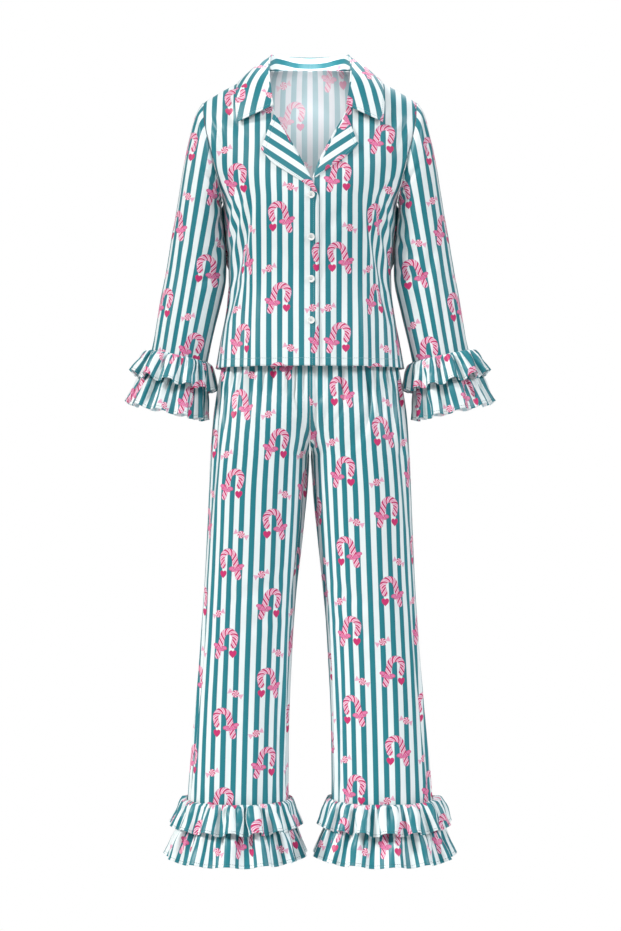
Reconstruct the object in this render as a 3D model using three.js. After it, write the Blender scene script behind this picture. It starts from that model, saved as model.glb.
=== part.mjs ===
// A pyjama set, filled out as it is worn with nobody in it: a notch-collared jacket that buttons in
// front and has two-tier ruffled cuffs, over elastic-waisted trousers with two-tier ruffled hems.
// Millimetres. +Z is up, the front faces -Y and +X is the viewer's right, which is the wearer's left.
// The origin is midway between the neck ends of the two shoulder seams, where the wearer's shoulders
// carry the jacket.
import * as THREE from "three";

const cloth = { wall: 1.6, seam: 0.4 };
// How far the overlapping front stands off the one beneath, and where that lift starts to fade out.
const overlap = { lift: 2.1, fadeFrom: 14, fadeTo: 42 };

const jacket = {
  hem: -553,
  underarm: -246,
  shoulderEnd: -61,
  shoulderHalf: 197,
  neckHalf: 76,
  shoulderBow: 4,
  backNeckRise: 10,
  shoulderRound: 90,
  squareness: 2.3,
};

const trousers = {
  waist: -440,
  bandSeam: -475,
  crotch: -714,
  riseStart: -596,
  hem: -1386,
  squareness: 2.2,
  gathersPerPanel: 6,
  gather: 5,
  gatherEnd: -640,
};

// Half width, and depth to the front and to the back of the shoulder line, of the jacket's body.
// Above the underarm the half width is that of the whole chest, shoulders included.
const torsoTable = [
  { z: 40, half: 240, front: 56, back: 74 },
  { z: 0, half: 238, front: 62, back: 82 },
  { z: -60, half: 236, front: 75, back: 93 },
  { z: -100, half: 228, front: 85, back: 98 },
  { z: -150, half: 215, front: 99, back: 100 },
  { z: -200, half: 185, front: 112, back: 98 },
  { z: -246, half: 161, front: 117, back: 94 },
  { z: -300, half: 156, front: 113, back: 87 },
  { z: -350, half: 151, front: 106, back: 82 },
  { z: -392, half: 149.5, front: 102, back: 80 },
  { z: -440, half: 153, front: 103, back: 87 },
  { z: -500, half: 165, front: 108, back: 98 },
  { z: -553, half: 174.5, front: 113, back: 105 },
];

// Where the armhole seam runs: distance from the middle, at each height.
const armholeTable = [
  { z: -61, x: 197 },
  { z: -90, x: 194.5 },
  { z: -120, x: 189.5 },
  { z: -150, x: 182.5 },
  { z: -180, x: 175.5 },
  { z: -210, x: 168.5 },
  { z: -246, x: 161 },
];

// The inner edge of each front: it runs up the button stand, then along the lapel's roll line to the
// neck. over is the front that laps on top and under is the one beneath it.
const frontEdgeTable = [
  { z: 0, over: 76, under: 76 },
  { z: -35, over: 74, under: 74 },
  { z: -71, over: 70, under: 70 },
  { z: -93, over: 64, under: 64 },
  { z: -133, over: 42, under: 42 },
  { z: -182, over: 15.5, under: 17 },
  { z: -219, over: -3, under: 3 },
  { z: -250, over: -15.5, under: -11 },
  { z: -268, over: -16, under: -12 },
  { z: -560, over: -16, under: -12 },
];

// The soft fold that falls from the bust to the waist, in front of each side seam. It dies away where
// the front is less than seamClear deep, at the seam.
const sideFold = {
  top: -262,
  bottom: -452,
  xTop: 110,
  xBottom: 136,
  width: 15,
  ridge: 1.5,
  trough: 6,
  seamClear: [8, 40],
};

// The lapel's free edge, from the break of the roll line out to the tip.
const lapelTable = [
  { v: 0, overX: -13, overZ: -246, underX: 10.5, underZ: -217 },
  { v: 0.2, overX: 6, overZ: -230, underX: 22, underZ: -208 },
  { v: 0.5, overX: 36, overZ: -210, underX: 44, underZ: -192 },
  { v: 0.8, overX: 68, overZ: -188, underX: 70, underZ: -172 },
  { v: 1, overX: 88, overZ: -163, underX: 87, underZ: -153 },
];
const lapel = { foldTop: [65, -95], liftAtFold: 2.1, liftAtTip: 5 };

// Half of the collar, from the middle of the back to the front end: the neck seam, the fold that
// stands above it and the free edge that lies over the shoulder.
const collarTable = [
  { seam: [0, 59.6, 10.6], fold: [0, 61.5, 33], fall: [0, 86, 10], edge: [0, 101, -24] },
  { seam: [27, 55.2, 9.8], fold: [26.5, 57, 32.6], fall: [34, 81, 9.5], edge: [41, 97, -24] },
  { seam: [50, 41, 6.6], fold: [48.5, 43, 31], fall: [62, 64, 8], edge: [76, 86, -25] },
  { seam: [67.5, 20, 3.2], fold: [64.5, 21, 28], fall: [84, 36, 5], edge: [104, 59, -25] },
  { seam: [76, 0, 1.4], fold: [71.5, 0, 24.5], fall: [97, 3, 8], edge: [124, 17, -17] },
  { seam: [79.5, -27, -6], fold: [73.5, -24, 8], fall: [103, -27, -6], edge: [132.5, -27, -28] },
  { seam: [79, -56, -32], fold: [73, -58, -24], fall: [104, -61, -36], edge: [135.5, -65, -60] },
  { seam: [75, -76, -62], fold: [69.5, -79.5, -58], fall: [101, -81, -72], edge: [134.5, -78, -90] },
  { seam: [69.5, -86.5, -84], fold: [65.5, -90.5, -83], fall: [97, -91, -97], edge: [131.5, -84, -111] },
];

// Sleeve sections from the armhole to the cuff: the outer and the inner end of each in front view,
// and the half depth. The first is the armhole seam itself.
const sleeveTable = [
  { outer: [197, -61], inner: [161, -246], depth: 60 },
  { outer: [211, -84], inner: [163.4, -249], depth: 66 },
  { outer: [224, -134], inner: [163.6, -258], depth: 67 },
  { outer: [235, -190], inner: [162, -275], depth: 65 },
  { outer: [245, -250], inner: [159.4, -300], depth: 62 },
  { outer: [256, -312], inner: [155.4, -340], depth: 59 },
  { outer: [266, -372], inner: [155.8, -394], depth: 56 },
  { outer: [277, -430], inner: [169, -452], depth: 54 },
  { outer: [286, -484], inner: [182, -506], depth: 52 },
  { outer: [292.5, -518], inner: [189.5, -541], depth: 51 },
  { outer: [299.5, -556], inner: [197.5, -579], depth: 51 },
];
const cuffSection = { upper: 9, lower: 10 };
const sleeveRoundness = 0.92;
const sleeveAngles = 8;

// Trouser sections: half width, depth to the front and back, and the gap between the legs' inseams.
const legTable = [
  { z: -475, half: 150.8, front: 93, back: 80, gap: 0 },
  { z: -551, half: 163, front: 101, back: 98, gap: 0 },
  { z: -600, half: 172, front: 105, back: 108, gap: 0 },
  { z: -648, half: 179, front: 107, back: 112, gap: 0 },
  { z: -714, half: 184, front: 106, back: 112, gap: 0.6 },
  { z: -760, half: 186, front: 104, back: 109, gap: 4 },
  { z: -833, half: 189, front: 99, back: 103, gap: 11 },
  { z: -980, half: 196, front: 90, back: 92, gap: 26 },
  { z: -1166, half: 210, front: 83, back: 85, gap: 38 },
  { z: -1300, half: 222, front: 82, back: 83, gap: 40 },
  { z: -1386, half: 229, front: 82, back: 83, gap: 39 },
];

// Ruffle tiers. top and drop are distances below the tier's seam line, out is how far the free edge
// stands out past the seam, less by innerEase on the side that faces the body or the other leg.
// waves and wave are the number and half height of its folds.
const hemTiers = {
  upper: { top: -1344, drop: 50, out: 28, innerEase: 0.3, waves: 16, wave: 6.5, turn: 0.4, columns: 80 },
  lower: { top: -1386.4, drop: 66, out: 33, innerEase: 0.2, waves: 13, wave: 6.5, turn: 2.1, columns: 65 },
};
const cuffTiers = {
  upper: { drop: 50, out: 24, innerEase: 0, waves: 13, wave: 5, turn: 1.2, columns: 65 },
  lower: { drop: 67, out: 24, innerEase: 0.2, waves: 11, wave: 5, turn: 3.3, columns: 55 },
};

const button = { radius: 7.2, thick: 2.6, rim: 1.1, x: 2, spacing: 74.4, first: -248, count: 4 };

const { clamp, lerp, smoothstep } = THREE.MathUtils;

// Reads a column of a table at a place between its rows, on a smooth curve through them.
function read(table, column, place, key = "z") {
  const last = table.length - 1;
  const falling = table[0][key] > table[last][key];
  let row = 0;
  while (row < last - 1 && (falling ? place < table[row + 1][key] : place > table[row + 1][key])) row += 1;
  const slope = (i) => {
    const before = table[Math.max(i - 1, 0)];
    const after = table[Math.min(i + 1, last)];
    return (after[column] - before[column]) / (after[key] - before[key]);
  };
  const start = table[row];
  const end = table[row + 1];
  const span = end[key] - start[key];
  const t = clamp((place - start[key]) / span, 0, 1);
  const t2 = t * t;
  const t3 = t2 * t;
  return (
    (2 * t3 - 3 * t2 + 1) * start[column] +
    (t3 - 2 * t2 + t) * span * slope(row) +
    (3 * t2 - 2 * t3) * end[column] +
    (t3 - t2) * span * slope(row + 1)
  );
}

// A smooth curve through neighbouring rows of points.
function through(points, place) {
  const last = points.length - 1;
  const i = Math.min(Math.floor(place), last - 1);
  const t = place - i;
  const [a, b, c, d] = [Math.max(i - 1, 0), i, i + 1, Math.min(i + 2, last)].map((k) => points[k]);
  const curve = (p, q, r, s) =>
    q + 0.5 * t * (r - p + t * (2 * p - 5 * q + 4 * r - s + t * (3 * (q - r) + s - p)));
  return new THREE.Vector3(curve(a.x, b.x, c.x, d.x), curve(a.y, b.y, c.y, d.y), curve(a.z, b.z, c.z, d.z));
}

const power = (value, exponent) => Math.sign(value) * Math.abs(value) ** exponent;
const steps = (count, map = (t) => t) => Array.from({ length: count + 1 }, (_, i) => map(i / count));
const clustered = (t) => (1 - Math.cos(Math.PI * t)) / 2;

// Builds a closed wall of cloth from rows of points on its outer face. The inner face lies one wall
// behind. Rows run upwards and their points run anticlockwise seen from above, so the outer face
// looks out. A row may have twice the columns of the next. lean changes the normal at a seam.
function clothWall(rows, { closed = false, wall = cloth.wall, lean = (normal) => normal } = {}) {
  const positions = [];
  const outer = [];
  const inner = [];
  const pick = (row, share) => {
    const count = closed ? row.length : row.length - 1;
    const place = share * count;
    const at = (k) => row[closed ? (k + row.length) % row.length : clamp(k, 0, row.length - 1)];
    const low = Math.floor(place + 1e-6);
    return at(low).clone().lerp(at(low + 1), clamp(place - low, 0, 1));
  };
  const vertex = (point) => {
    positions.push(point.x, point.y, point.z);
    return positions.length / 3 - 1;
  };
  rows.forEach((row, j) => {
    const count = closed ? row.length : row.length - 1;
    const outerRow = [];
    const innerRow = [];
    row.forEach((point, i) => {
      const along = closed
        ? row[(i + 1) % row.length].clone().sub(row[(i + row.length - 1) % row.length])
        : row[Math.min(i + 1, count)].clone().sub(row[Math.max(i - 1, 0)]);
      const share = i / count;
      const above = pick(rows[Math.min(j + 1, rows.length - 1)], share);
      const up = above.sub(pick(rows[Math.max(j - 1, 0)], share));
      const normal = lean(along.cross(up).normalize(), j, i, point).normalize();
      outerRow.push(vertex(point));
      innerRow.push(vertex(point.clone().addScaledVector(normal, -wall)));
    });
    outer.push(outerRow);
    inner.push(innerRow);
  });

  const faces = [];
  const strip = (low, high, flip) => {
    const add = (a, b, c) => faces.push(...(flip ? [a, c, b] : [a, b, c]));
    const wrap = (row, k) => row[k % row.length];
    const cells = (row) => (closed ? row.length : row.length - 1);
    if (cells(low) === cells(high)) {
      for (let i = 0; i < cells(low); i += 1) {
        add(low[i], wrap(low, i + 1), wrap(high, i + 1));
        add(low[i], wrap(high, i + 1), high[i]);
      }
      return;
    }
    for (let i = 0; i < cells(low); i += 1) {
      const middle = wrap(high, 2 * i + 1);
      add(low[i], wrap(low, i + 1), middle);
      add(low[i], middle, high[2 * i]);
      add(wrap(low, i + 1), wrap(high, 2 * i + 2), middle);
    }
  };
  for (let j = 0; j < rows.length - 1; j += 1) {
    strip(outer[j], outer[j + 1], false);
    strip(inner[j], inner[j + 1], true);
  }
  const rim = (front, back) => {
    const cells = closed ? front.length : front.length - 1;
    for (let i = 0; i < cells; i += 1) {
      const next = (i + 1) % front.length;
      faces.push(front[i], back[i], back[next], front[i], back[next], front[next]);
    }
  };
  rim(outer[0], inner[0]);
  rim(inner.at(-1), outer.at(-1));
  if (!closed) {
    for (let j = 0; j < rows.length - 1; j += 1) {
      const [a, b, c, d] = [outer[j][0], outer[j + 1][0], inner[j + 1][0], inner[j][0]];
      faces.push(a, b, c, a, c, d);
      const [e, f, g, h] = [outer[j].at(-1), outer[j + 1].at(-1), inner[j + 1].at(-1), inner[j].at(-1)];
      faces.push(e, h, g, e, g, f);
    }
  }
  const geometry = new THREE.BufferGeometry();
  geometry.setAttribute("position", new THREE.Float32BufferAttribute(positions, 3));
  geometry.setIndex(faces);
  return geometry;
}

// The same rows on the other side of the body.
const mirrored = (rows) =>
  rows.map((row) => row.map((point) => new THREE.Vector3(-point.x, point.y, point.z)).reverse());

// Height of the shoulder seam, bowed a little upwards, and carried on inwards over the neck.
function shoulderLine(x) {
  const along = (Math.abs(x) - jacket.neckHalf) / (jacket.shoulderHalf - jacket.neckHalf);
  return along * jacket.shoulderEnd + jacket.shoulderBow * Math.sin(Math.PI * clamp(along, 0, 1));
}

// How far the jacket's body stands in front of, or behind, the shoulder line.
function bodyDepth(x, z, face) {
  const reach = Math.min(Math.abs(x) / read(torsoTable, "half", z), 1);
  const across = (1 - reach ** jacket.squareness) ** (1 / jacket.squareness);
  const below = clamp((shoulderLine(x) - z) / jacket.shoulderRound, 0, 1);
  return read(torsoTable, face, z) * across * Math.sqrt(1 - (1 - below) ** 2);
}

// Ridge and trough of the side fold, as a distance out from the body.
function sideFoldDepth(x, z) {
  const fade = Math.sin(Math.PI * clamp((z - sideFold.bottom) / (sideFold.top - sideFold.bottom), 0, 1));
  const down = (sideFold.top - z) / (sideFold.top - sideFold.bottom);
  const past = (Math.abs(x) - lerp(sideFold.xTop, sideFold.xBottom, down)) / sideFold.width;
  const seamward = smoothstep(bodyDepth(x, z, "front"), ...sideFold.seamClear);
  const ridge = sideFold.ridge * Math.exp(-((past + 0.6) ** 2));
  const trough = sideFold.trough * Math.exp(-((past - 0.6) ** 2));
  return fade * seamward * (ridge - trough);
}

// Where the overlapping front stands clear of the one beneath it.
const overlapLift = (x) => overlap.lift * (1 - smoothstep(x, overlap.fadeFrom, overlap.fadeTo));

// A point of a front, u from the button edge to the side seam or armhole, v upwards: 0 to 1 from the
// hem to the underarm and 1 to 2 from there to the shoulder seam.
function frontPoint(u, v, layer) {
  const rise = clamp(v - 1, 0, 1);
  const low = lerp(jacket.hem, jacket.underarm, clamp(v, 0, 1));
  const edgeZ = rise > 0 ? lerp(jacket.underarm, 0, rise) : low;
  const sideZ = rise > 0 ? lerp(jacket.underarm, jacket.shoulderEnd, rise) : low;
  const edgeX = read(frontEdgeTable, layer, edgeZ);
  const sideX = rise > 0 ? read(armholeTable, "x", sideZ) - cloth.seam / 2 : read(torsoTable, "half", low);
  const exponent = 2 / jacket.squareness;
  const startAngle = Math.asin(power(edgeX / sideX, 1 / exponent));
  const angle = lerp(startAngle, Math.PI / 2, u);
  const ringX = sideX * power(Math.sin(angle), exponent);
  const x = lerp(ringX, lerp(edgeX, sideX, u), rise);
  const share = (x - edgeX) / (sideX - edgeX);
  const bow = jacket.shoulderBow * Math.sin(Math.PI * share) * rise ** 3;
  const z = lerp(edgeZ, sideZ, share) + bow;
  const lift = layer === "over" ? overlapLift(x) : 0;
  const depth = bodyDepth(x, z, "front") + sideFoldDepth(x, z);
  return new THREE.Vector3(x, -depth - lift - cloth.seam / 2, z);
}

// A point of the back, u from -1 at one side to 1 at the other, v as for the fronts.
function backPoint(u, v) {
  const rise = clamp(v - 1, 0, 1);
  const low = lerp(jacket.hem, jacket.underarm, clamp(v, 0, 1));
  const sideZ = rise > 0 ? lerp(jacket.underarm, jacket.shoulderEnd, rise) : low;
  const sideX = rise > 0 ? read(armholeTable, "x", sideZ) - cloth.seam / 2 : read(torsoTable, "half", low);
  const exponent = 2 / jacket.squareness;
  const ringX = sideX * power(Math.sin((u * Math.PI) / 2), exponent);
  const x = lerp(ringX, sideX * u, rise);
  const across = Math.abs(u) * jacket.shoulderHalf;
  const neck = jacket.backNeckRise * (1 - (across / jacket.neckHalf) ** 2);
  const top = across > jacket.neckHalf ? shoulderLine(across) : neck;
  const z = rise > 0 ? lerp(jacket.underarm, top, rise) : low;
  return new THREE.Vector3(x, bodyDepth(x, z, "back") + cloth.seam / 2, z);
}

// The armhole seam, from the shoulder at angle 0 round the front to the underarm at half a turn.
function armholePoint(angle) {
  const z = lerp(jacket.underarm, jacket.shoulderEnd, (1 + Math.cos(angle)) / 2);
  const x = read(armholeTable, "x", z);
  const face = Math.sin(angle) >= 0 ? "front" : "back";
  const depth = bodyDepth(x, z, face) + cloth.seam / 2;
  const y = Math.abs(Math.sin(angle)) < 1e-6 ? 0 : -Math.sign(Math.sin(angle)) * depth;
  return new THREE.Vector3(x + cloth.seam / 2, y, z);
}

// A point of sleeve section k, at an angle from its outer end round the front.
function sleeveSection(k, angle) {
  if (k === 0) return armholePoint(angle);
  const { outer, inner, depth } = sleeveTable[k];
  const middleX = (outer[0] + inner[0]) / 2;
  const middleZ = (outer[1] + inner[1]) / 2;
  return new THREE.Vector3(
    middleX + ((outer[0] - inner[0]) / 2) * Math.cos(angle),
    -depth * power(Math.sin(angle), sleeveRoundness),
    middleZ + ((outer[1] - inner[1]) / 2) * Math.cos(angle),
  );
}

// A point of a trouser leg, u from the centre or inseam to the side seam, at height z.
function legPoint(u, z, face) {
  const half = read(legTable, "half", z);
  const depth = read(legTable, face, z);
  const exponent = 2 / trousers.squareness;
  const rise = clamp((trousers.riseStart - z) / (trousers.riseStart - trousers.crotch), 0, 1);
  const fall = 1 - (1 - rise ** 1.4) ** 1.5;
  const startAngle = -Math.asin(fall);
  const gap = Math.max(read(legTable, "gap", z), cloth.seam / 2);
  const startSine = power(Math.sin(startAngle), exponent);
  const reach = (half - gap) / (1 - startSine);
  const angle = lerp(startAngle, Math.PI / 2, u);
  const x = half - reach + reach * power(Math.sin(angle), exponent);
  const y = depth * power(Math.max(Math.cos(angle), 0), exponent) + cloth.seam / 2;
  const fade = smoothstep(z, trousers.gatherEnd, trousers.bandSeam);
  const gather = -trousers.gather * fade * Math.sin(Math.PI * trousers.gathersPerPanel * u) ** 2;
  const outward = new THREE.Vector3(Math.sin(angle), -Math.cos(angle), 0);
  const point = new THREE.Vector3(x, -y, z).addScaledVector(outward, gather);
  if (face === "back") point.y *= -1;
  return point;
}

// The folds of a ruffle round its edge, between -1 and 1, uneven in width and in depth.
function ruffleWave(angle, tier) {
  const drift = 0.55 * Math.sin(2 * angle + tier.turn) + 0.4 * Math.sin(3 * angle + 2.3 * tier.turn);
  const strength = 0.8 + 0.2 * Math.sin(2 * angle + 5 * tier.turn);
  return strength * Math.sin(tier.waves * angle + drift);
}

// Rows of a ruffle tier from its free edge up to its seam. ring gives the seam line and the way out
// from it at an angle, at a distance below the seam.
function ruffleRows(tier, ring, clear) {
  return [1, 0.45, 0].map((down) =>
    steps(tier.columns - 1, (t) => t * (1 - 1 / tier.columns)).map((t) => {
      const angle = 2 * Math.PI * t;
      const { point, out } = ring(angle, down * tier.drop);
      const wave = ruffleWave(angle, tier);
      const depth = tier.wave * lerp(0.16, 1, down) * wave + lerp(0.16, 0, down) * tier.wave;
      const flare = 1 - tier.innerEase * Math.max(-Math.sin(angle), 0);
      const stand = clear + tier.out * flare * down ** 0.85 + depth;
      point.z += down * 1.5 * wave;
      return point.addScaledVector(out, stand);
    }),
  );
}

// The ring of a trouser leg at its hem, for the ruffles that hang from it.
function hemRing(tier) {
  return (angle, below) => {
    const z = tier.top;
    const half = read(legTable, "half", z);
    const gap = read(legTable, "gap", z);
    const face = Math.cos(angle) >= 0 ? "front" : "back";
    const depth = read(legTable, face, z);
    const exponent = 2 / trousers.squareness;
    const point = new THREE.Vector3(
      (half + gap) / 2 + ((half - gap) / 2) * power(Math.sin(angle), exponent),
      -(depth + cloth.seam / 2) * power(Math.cos(angle), exponent),
      z - below,
    );
    return { point, out: new THREE.Vector3(Math.sin(angle), -Math.cos(angle), 0) };
  };
}

// The ring of a sleeve at its cuff, carried on along the sleeve for the ruffles.
function cuffRing(place) {
  const { outer, inner, depth } = sleeveTable[place];
  const middle = new THREE.Vector3((outer[0] + inner[0]) / 2, 0, (outer[1] + inner[1]) / 2);
  const side = new THREE.Vector3(outer[0] - inner[0], 0, outer[1] - inner[1]).normalize();
  const along = new THREE.Vector3(side.z, 0, -side.x);
  const half = Math.hypot(outer[0] - inner[0], outer[1] - inner[1]) / 2;
  return (angle, below) => {
    const point = middle.clone().addScaledVector(along, below);
    point.addScaledVector(side, half * Math.sin(angle));
    point.y -= depth * power(Math.cos(angle), sleeveRoundness);
    const out = side.clone().multiplyScalar(Math.sin(angle));
    out.y -= Math.cos(angle);
    return { point, out };
  };
}

const fabric = new THREE.MeshStandardMaterial({ color: "#8fc6c8", roughness: 0.42, metalness: 0 });
const facing = new THREE.MeshStandardMaterial({ color: "#a9d3d4", roughness: 0.42, metalness: 0 });
const ruffle = new THREE.MeshStandardMaterial({ color: "#7dbabd", roughness: 0.42, metalness: 0 });
const resin = new THREE.MeshStandardMaterial({ color: "#f4f4f0", roughness: 0.3, metalness: 0 });

const set = new THREE.Group();
function add(name, geometry, material) {
  const mesh = new THREE.Mesh(geometry, material);
  mesh.name = name;
  set.add(mesh);
  return mesh;
}
// The wearer's left is the side that the points are worked out on, and the right is its mirror.
function addPair(name, rows, material, options) {
  add(`${name}_left`, clothWall(rows, options), material);
  add(`${name}_right`, clothWall(mirrored(rows), options), material);
}

// Normals at the seams lie square to the seam, so that neighbouring walls meet face to face.
const squareTo = (axis) => (normal) => {
  normal[axis] = 0;
  return normal;
};

const underarmRow = 8;
const bodyRows = [
  ...steps(underarmRow).slice(0, -1),
  ...steps(sleeveAngles, clustered).map((t) => 1 + t),
];
const frontColumns = 12;

function frontLean(sideColumn) {
  return (normal, j, i) => {
    const atSeam = j === bodyRows.length - 1 || (i === sideColumn && j <= underarmRow);
    return atSeam ? squareTo("y")(normal) : normal;
  };
}

function addFronts() {
  const columns = steps(frontColumns);
  const rowsOf = (layer) => bodyRows.map((v) => columns.map((u) => frontPoint(u, v, layer)));
  const under = clothWall(rowsOf("under"), { lean: frontLean(frontColumns) });
  const over = clothWall(mirrored(rowsOf("over")), { lean: frontLean(0) });
  add("front_left", under, fabric);
  add("front_right", over, fabric);
}

function addBack() {
  const half = [0, 0.14, 0.27, jacket.neckHalf / jacket.shoulderHalf, 0.53, 0.68, 0.84, 1];
  const columns = [...half].reverse().concat(half.slice(1).map((u) => -u));
  const lean = (normal, j, i) => {
    const atSide = (i === 0 || i === columns.length - 1) && j <= underarmRow;
    return atSide || j === bodyRows.length - 1 ? squareTo("y")(normal) : normal;
  };
  add("back", clothWall(bodyRows.map((v) => columns.map((u) => backPoint(u, v))), { lean }), fabric);
}

function addSleeves() {
  const angles = steps(2 * sleeveAngles).slice(0, -1).map((t) => 2 * Math.PI * t).reverse();
  const rows = sleeveTable.map((_, k) => angles.map((angle) => sleeveSection(k, angle))).reverse();
  const top = rows.length - 1;
  const bodyNormal = (point) => {
    const face = point.y <= 0 ? "front" : "back";
    const side = point.y <= 0 ? -1 : 1;
    const x = Math.abs(point.x) - 1.5;
    const slopeX = (bodyDepth(x, point.z, face) - bodyDepth(x - 3, point.z, face)) / 3;
    const slopeZ = (bodyDepth(x, point.z + 1, face) - bodyDepth(x, point.z - 1, face)) / 2;
    return new THREE.Vector3(-slopeX * Math.sign(point.x), side, -slopeZ).normalize();
  };
  const lean = (normal, j, i, point) => {
    if (j !== top) return normal;
    const high = (point.z - jacket.underarm) / (jacket.shoulderEnd - jacket.underarm);
    if (Math.abs(point.y) < 1 && high > 0.5) return new THREE.Vector3(Math.sign(point.x) * 0.45, 0, 0.89);
    if (Math.abs(point.y) < 1) return new THREE.Vector3(0, 0, -1);
    return bodyNormal(point).lerp(normal, 1 - smoothstep(high, 0.1, 0.55));
  };
  addPair("sleeve", rows, fabric, { closed: true, lean });
}

function addLapels() {
  const foldStart = { over: [-4, -221], under: [7, -213] };
  const rowsOf = (layer) =>
    steps(7).map((v) => {
      const fold = [
        lerp(foldStart[layer][0], lapel.foldTop[0], v),
        lerp(foldStart[layer][1], lapel.foldTop[1], v),
      ];
      const free = [read(lapelTable, `${layer}X`, v, "v"), read(lapelTable, `${layer}Z`, v, "v")];
      return steps(4).map((u) => {
        const x = lerp(fold[0], free[0], u);
        const z = lerp(fold[1], free[1], u);
        const lift = lerp(lapel.liftAtFold, lapel.liftAtTip, u * v);
        const base = layer === "over" ? overlapLift(x) : 0;
        return new THREE.Vector3(x, -bodyDepth(x, z, "front") - base - lift - cloth.seam / 2, z);
      });
    });
  add("lapel_left", clothWall(rowsOf("under")), facing);
  add("lapel_right", clothWall(mirrored(rowsOf("over"))), facing);
}

// The collar is one folded wall: it stands up from the neck seam, turns over and falls outwards.
function addCollar() {
  const half = steps(12).map((t) => {
    const place = t * (collarTable.length - 1);
    const line = (key) => through(collarTable.map((row) => new THREE.Vector3(...row[key])), place);
    const [seam, fold, fall, edge] = ["seam", "fold", "fall", "edge"].map(line);
    const outward = edge.clone().sub(seam).setZ(0).normalize();
    const turn = cloth.wall * 1.1;
    const crown = fold.clone().addScaledVector(outward, turn);
    crown.z += turn * 0.9;
    return [seam, fold, crown, fold.clone().addScaledVector(outward, 2 * turn), fall, edge];
  });
  const around = [...half.slice(1).reverse(), ...half.map((row) => row.map((p) => p.clone().setX(-p.x)))];
  const rows = half[0].map((_, k) => around.map((row) => row[k]));
  add("collar", clothWall(rows.reverse(), { wall: 1.4 }), facing);
}

function addButtons() {
  const { radius, thick, rim } = button;
  const outline = [
    [0, 0],
    [radius * 0.8, 0],
    [radius, thick * 0.45],
    [radius * 0.92, thick],
    [radius * 0.72, thick],
    [radius * 0.62, thick - rim * 0.6],
    [0, thick - rim * 0.6],
  ].map(([r, h]) => new THREE.Vector2(r, h));
  for (let k = 0; k < button.count; k += 1) {
    const z = button.first - k * button.spacing;
    const depth = (height) => bodyDepth(button.x, height, "front");
    const tilt = Math.atan2(depth(z + 5) - depth(z - 5), 10);
    const mesh = add(`button_${k + 1}`, new THREE.LatheGeometry(outline, 18), resin);
    mesh.rotation.x = Math.PI + tilt;
    mesh.position.set(button.x, -depth(z) - overlap.lift - cloth.seam / 2 - 0.4, z);
  }
}

function addTrousers() {
  const fine = 4 * trousers.gathersPerPanel;
  const coarse = fine / 2;
  const lowRows = [trousers.hem, -1340, -1250, -1130, -990, -860, -765, -728];
  const riseRows = [90, 77, 62, 46, 30].map((degrees) =>
    lerp(trousers.riseStart, trousers.crotch, Math.sin(THREE.MathUtils.degToRad(degrees))),
  );
  const highRows = [-622, -570, -518, trousers.bandSeam];
  const heights = [
    ...[...lowRows, ...riseRows].map((z) => ({ z, columns: coarse })),
    ...highRows.map((z) => ({ z, columns: fine })),
  ];
  const panel = (face) =>
    heights.map(({ z, columns }) => {
      const row = steps(columns).map((u) => legPoint(u, z, face));
      return face === "front" ? row : row.reverse();
    });
  const leanAt = (face, mirror) => (normal, j, i) => {
    const columns = heights[j].columns;
    const side = (face === "front") !== mirror ? columns : 0;
    if (i === side) return squareTo("y")(normal);
    if (i !== columns - side) return normal;
    if (Math.abs(heights[j].z - trousers.crotch) < 1) return new THREE.Vector3(0, 0, -1);
    return squareTo(heights[j].z > trousers.crotch ? "x" : "y")(normal);
  };
  for (const face of ["front", "back"]) {
    add(`leg_${face}_left`, clothWall(panel(face), { lean: leanAt(face, false) }), fabric);
    add(`leg_${face}_right`, clothWall(mirrored(panel(face)), { lean: leanAt(face, true) }), fabric);
  }
}

function addWaistband() {
  const quarter = steps(4 * trousers.gathersPerPanel).slice(0, -1);
  const rows = [trousers.bandSeam + cloth.seam, trousers.waist].map((z) => {
    const at = (u, face, mirror) => {
      const point = legPoint(u, trousers.bandSeam, face).setZ(z);
      if (mirror) point.x *= -1;
      return point;
    };
    return [
      ...quarter.map((u) => at(u, "front", false)),
      ...quarter.map((u) => at(1 - u, "back", false)),
      ...quarter.map((u) => at(u, "back", true)),
      ...quarter.map((u) => at(1 - u, "front", true)),
    ];
  });
  add("waistband", clothWall(rows, { closed: true }), fabric);
}

function addRuffles() {
  const outside = cloth.seam + cloth.wall;
  const cuffEnd = cuffRing(cuffSection.lower);
  const belowSleeve = (angle, below) => cuffEnd(angle, below + cloth.seam);
  const tiers = [
    ["cuff_ruffle_upper", cuffTiers.upper, cuffRing(cuffSection.upper), outside],
    ["cuff_ruffle_lower", cuffTiers.lower, belowSleeve, 0],
    ["hem_ruffle_upper", hemTiers.upper, hemRing(hemTiers.upper), outside],
    ["hem_ruffle_lower", hemTiers.lower, hemRing(hemTiers.lower), 0],
  ];
  for (const [name, tier, ring, clear] of tiers) {
    addPair(name, ruffleRows(tier, ring, clear), ruffle, { closed: true });
  }
}

addFronts();
addBack();
addSleeves();
addLapels();
addCollar();
addButtons();
addWaistband();
addTrousers();
addRuffles();

export default set;
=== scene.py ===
import math

import bmesh
import bpy
from mathutils import Matrix, Vector, noise


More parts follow.
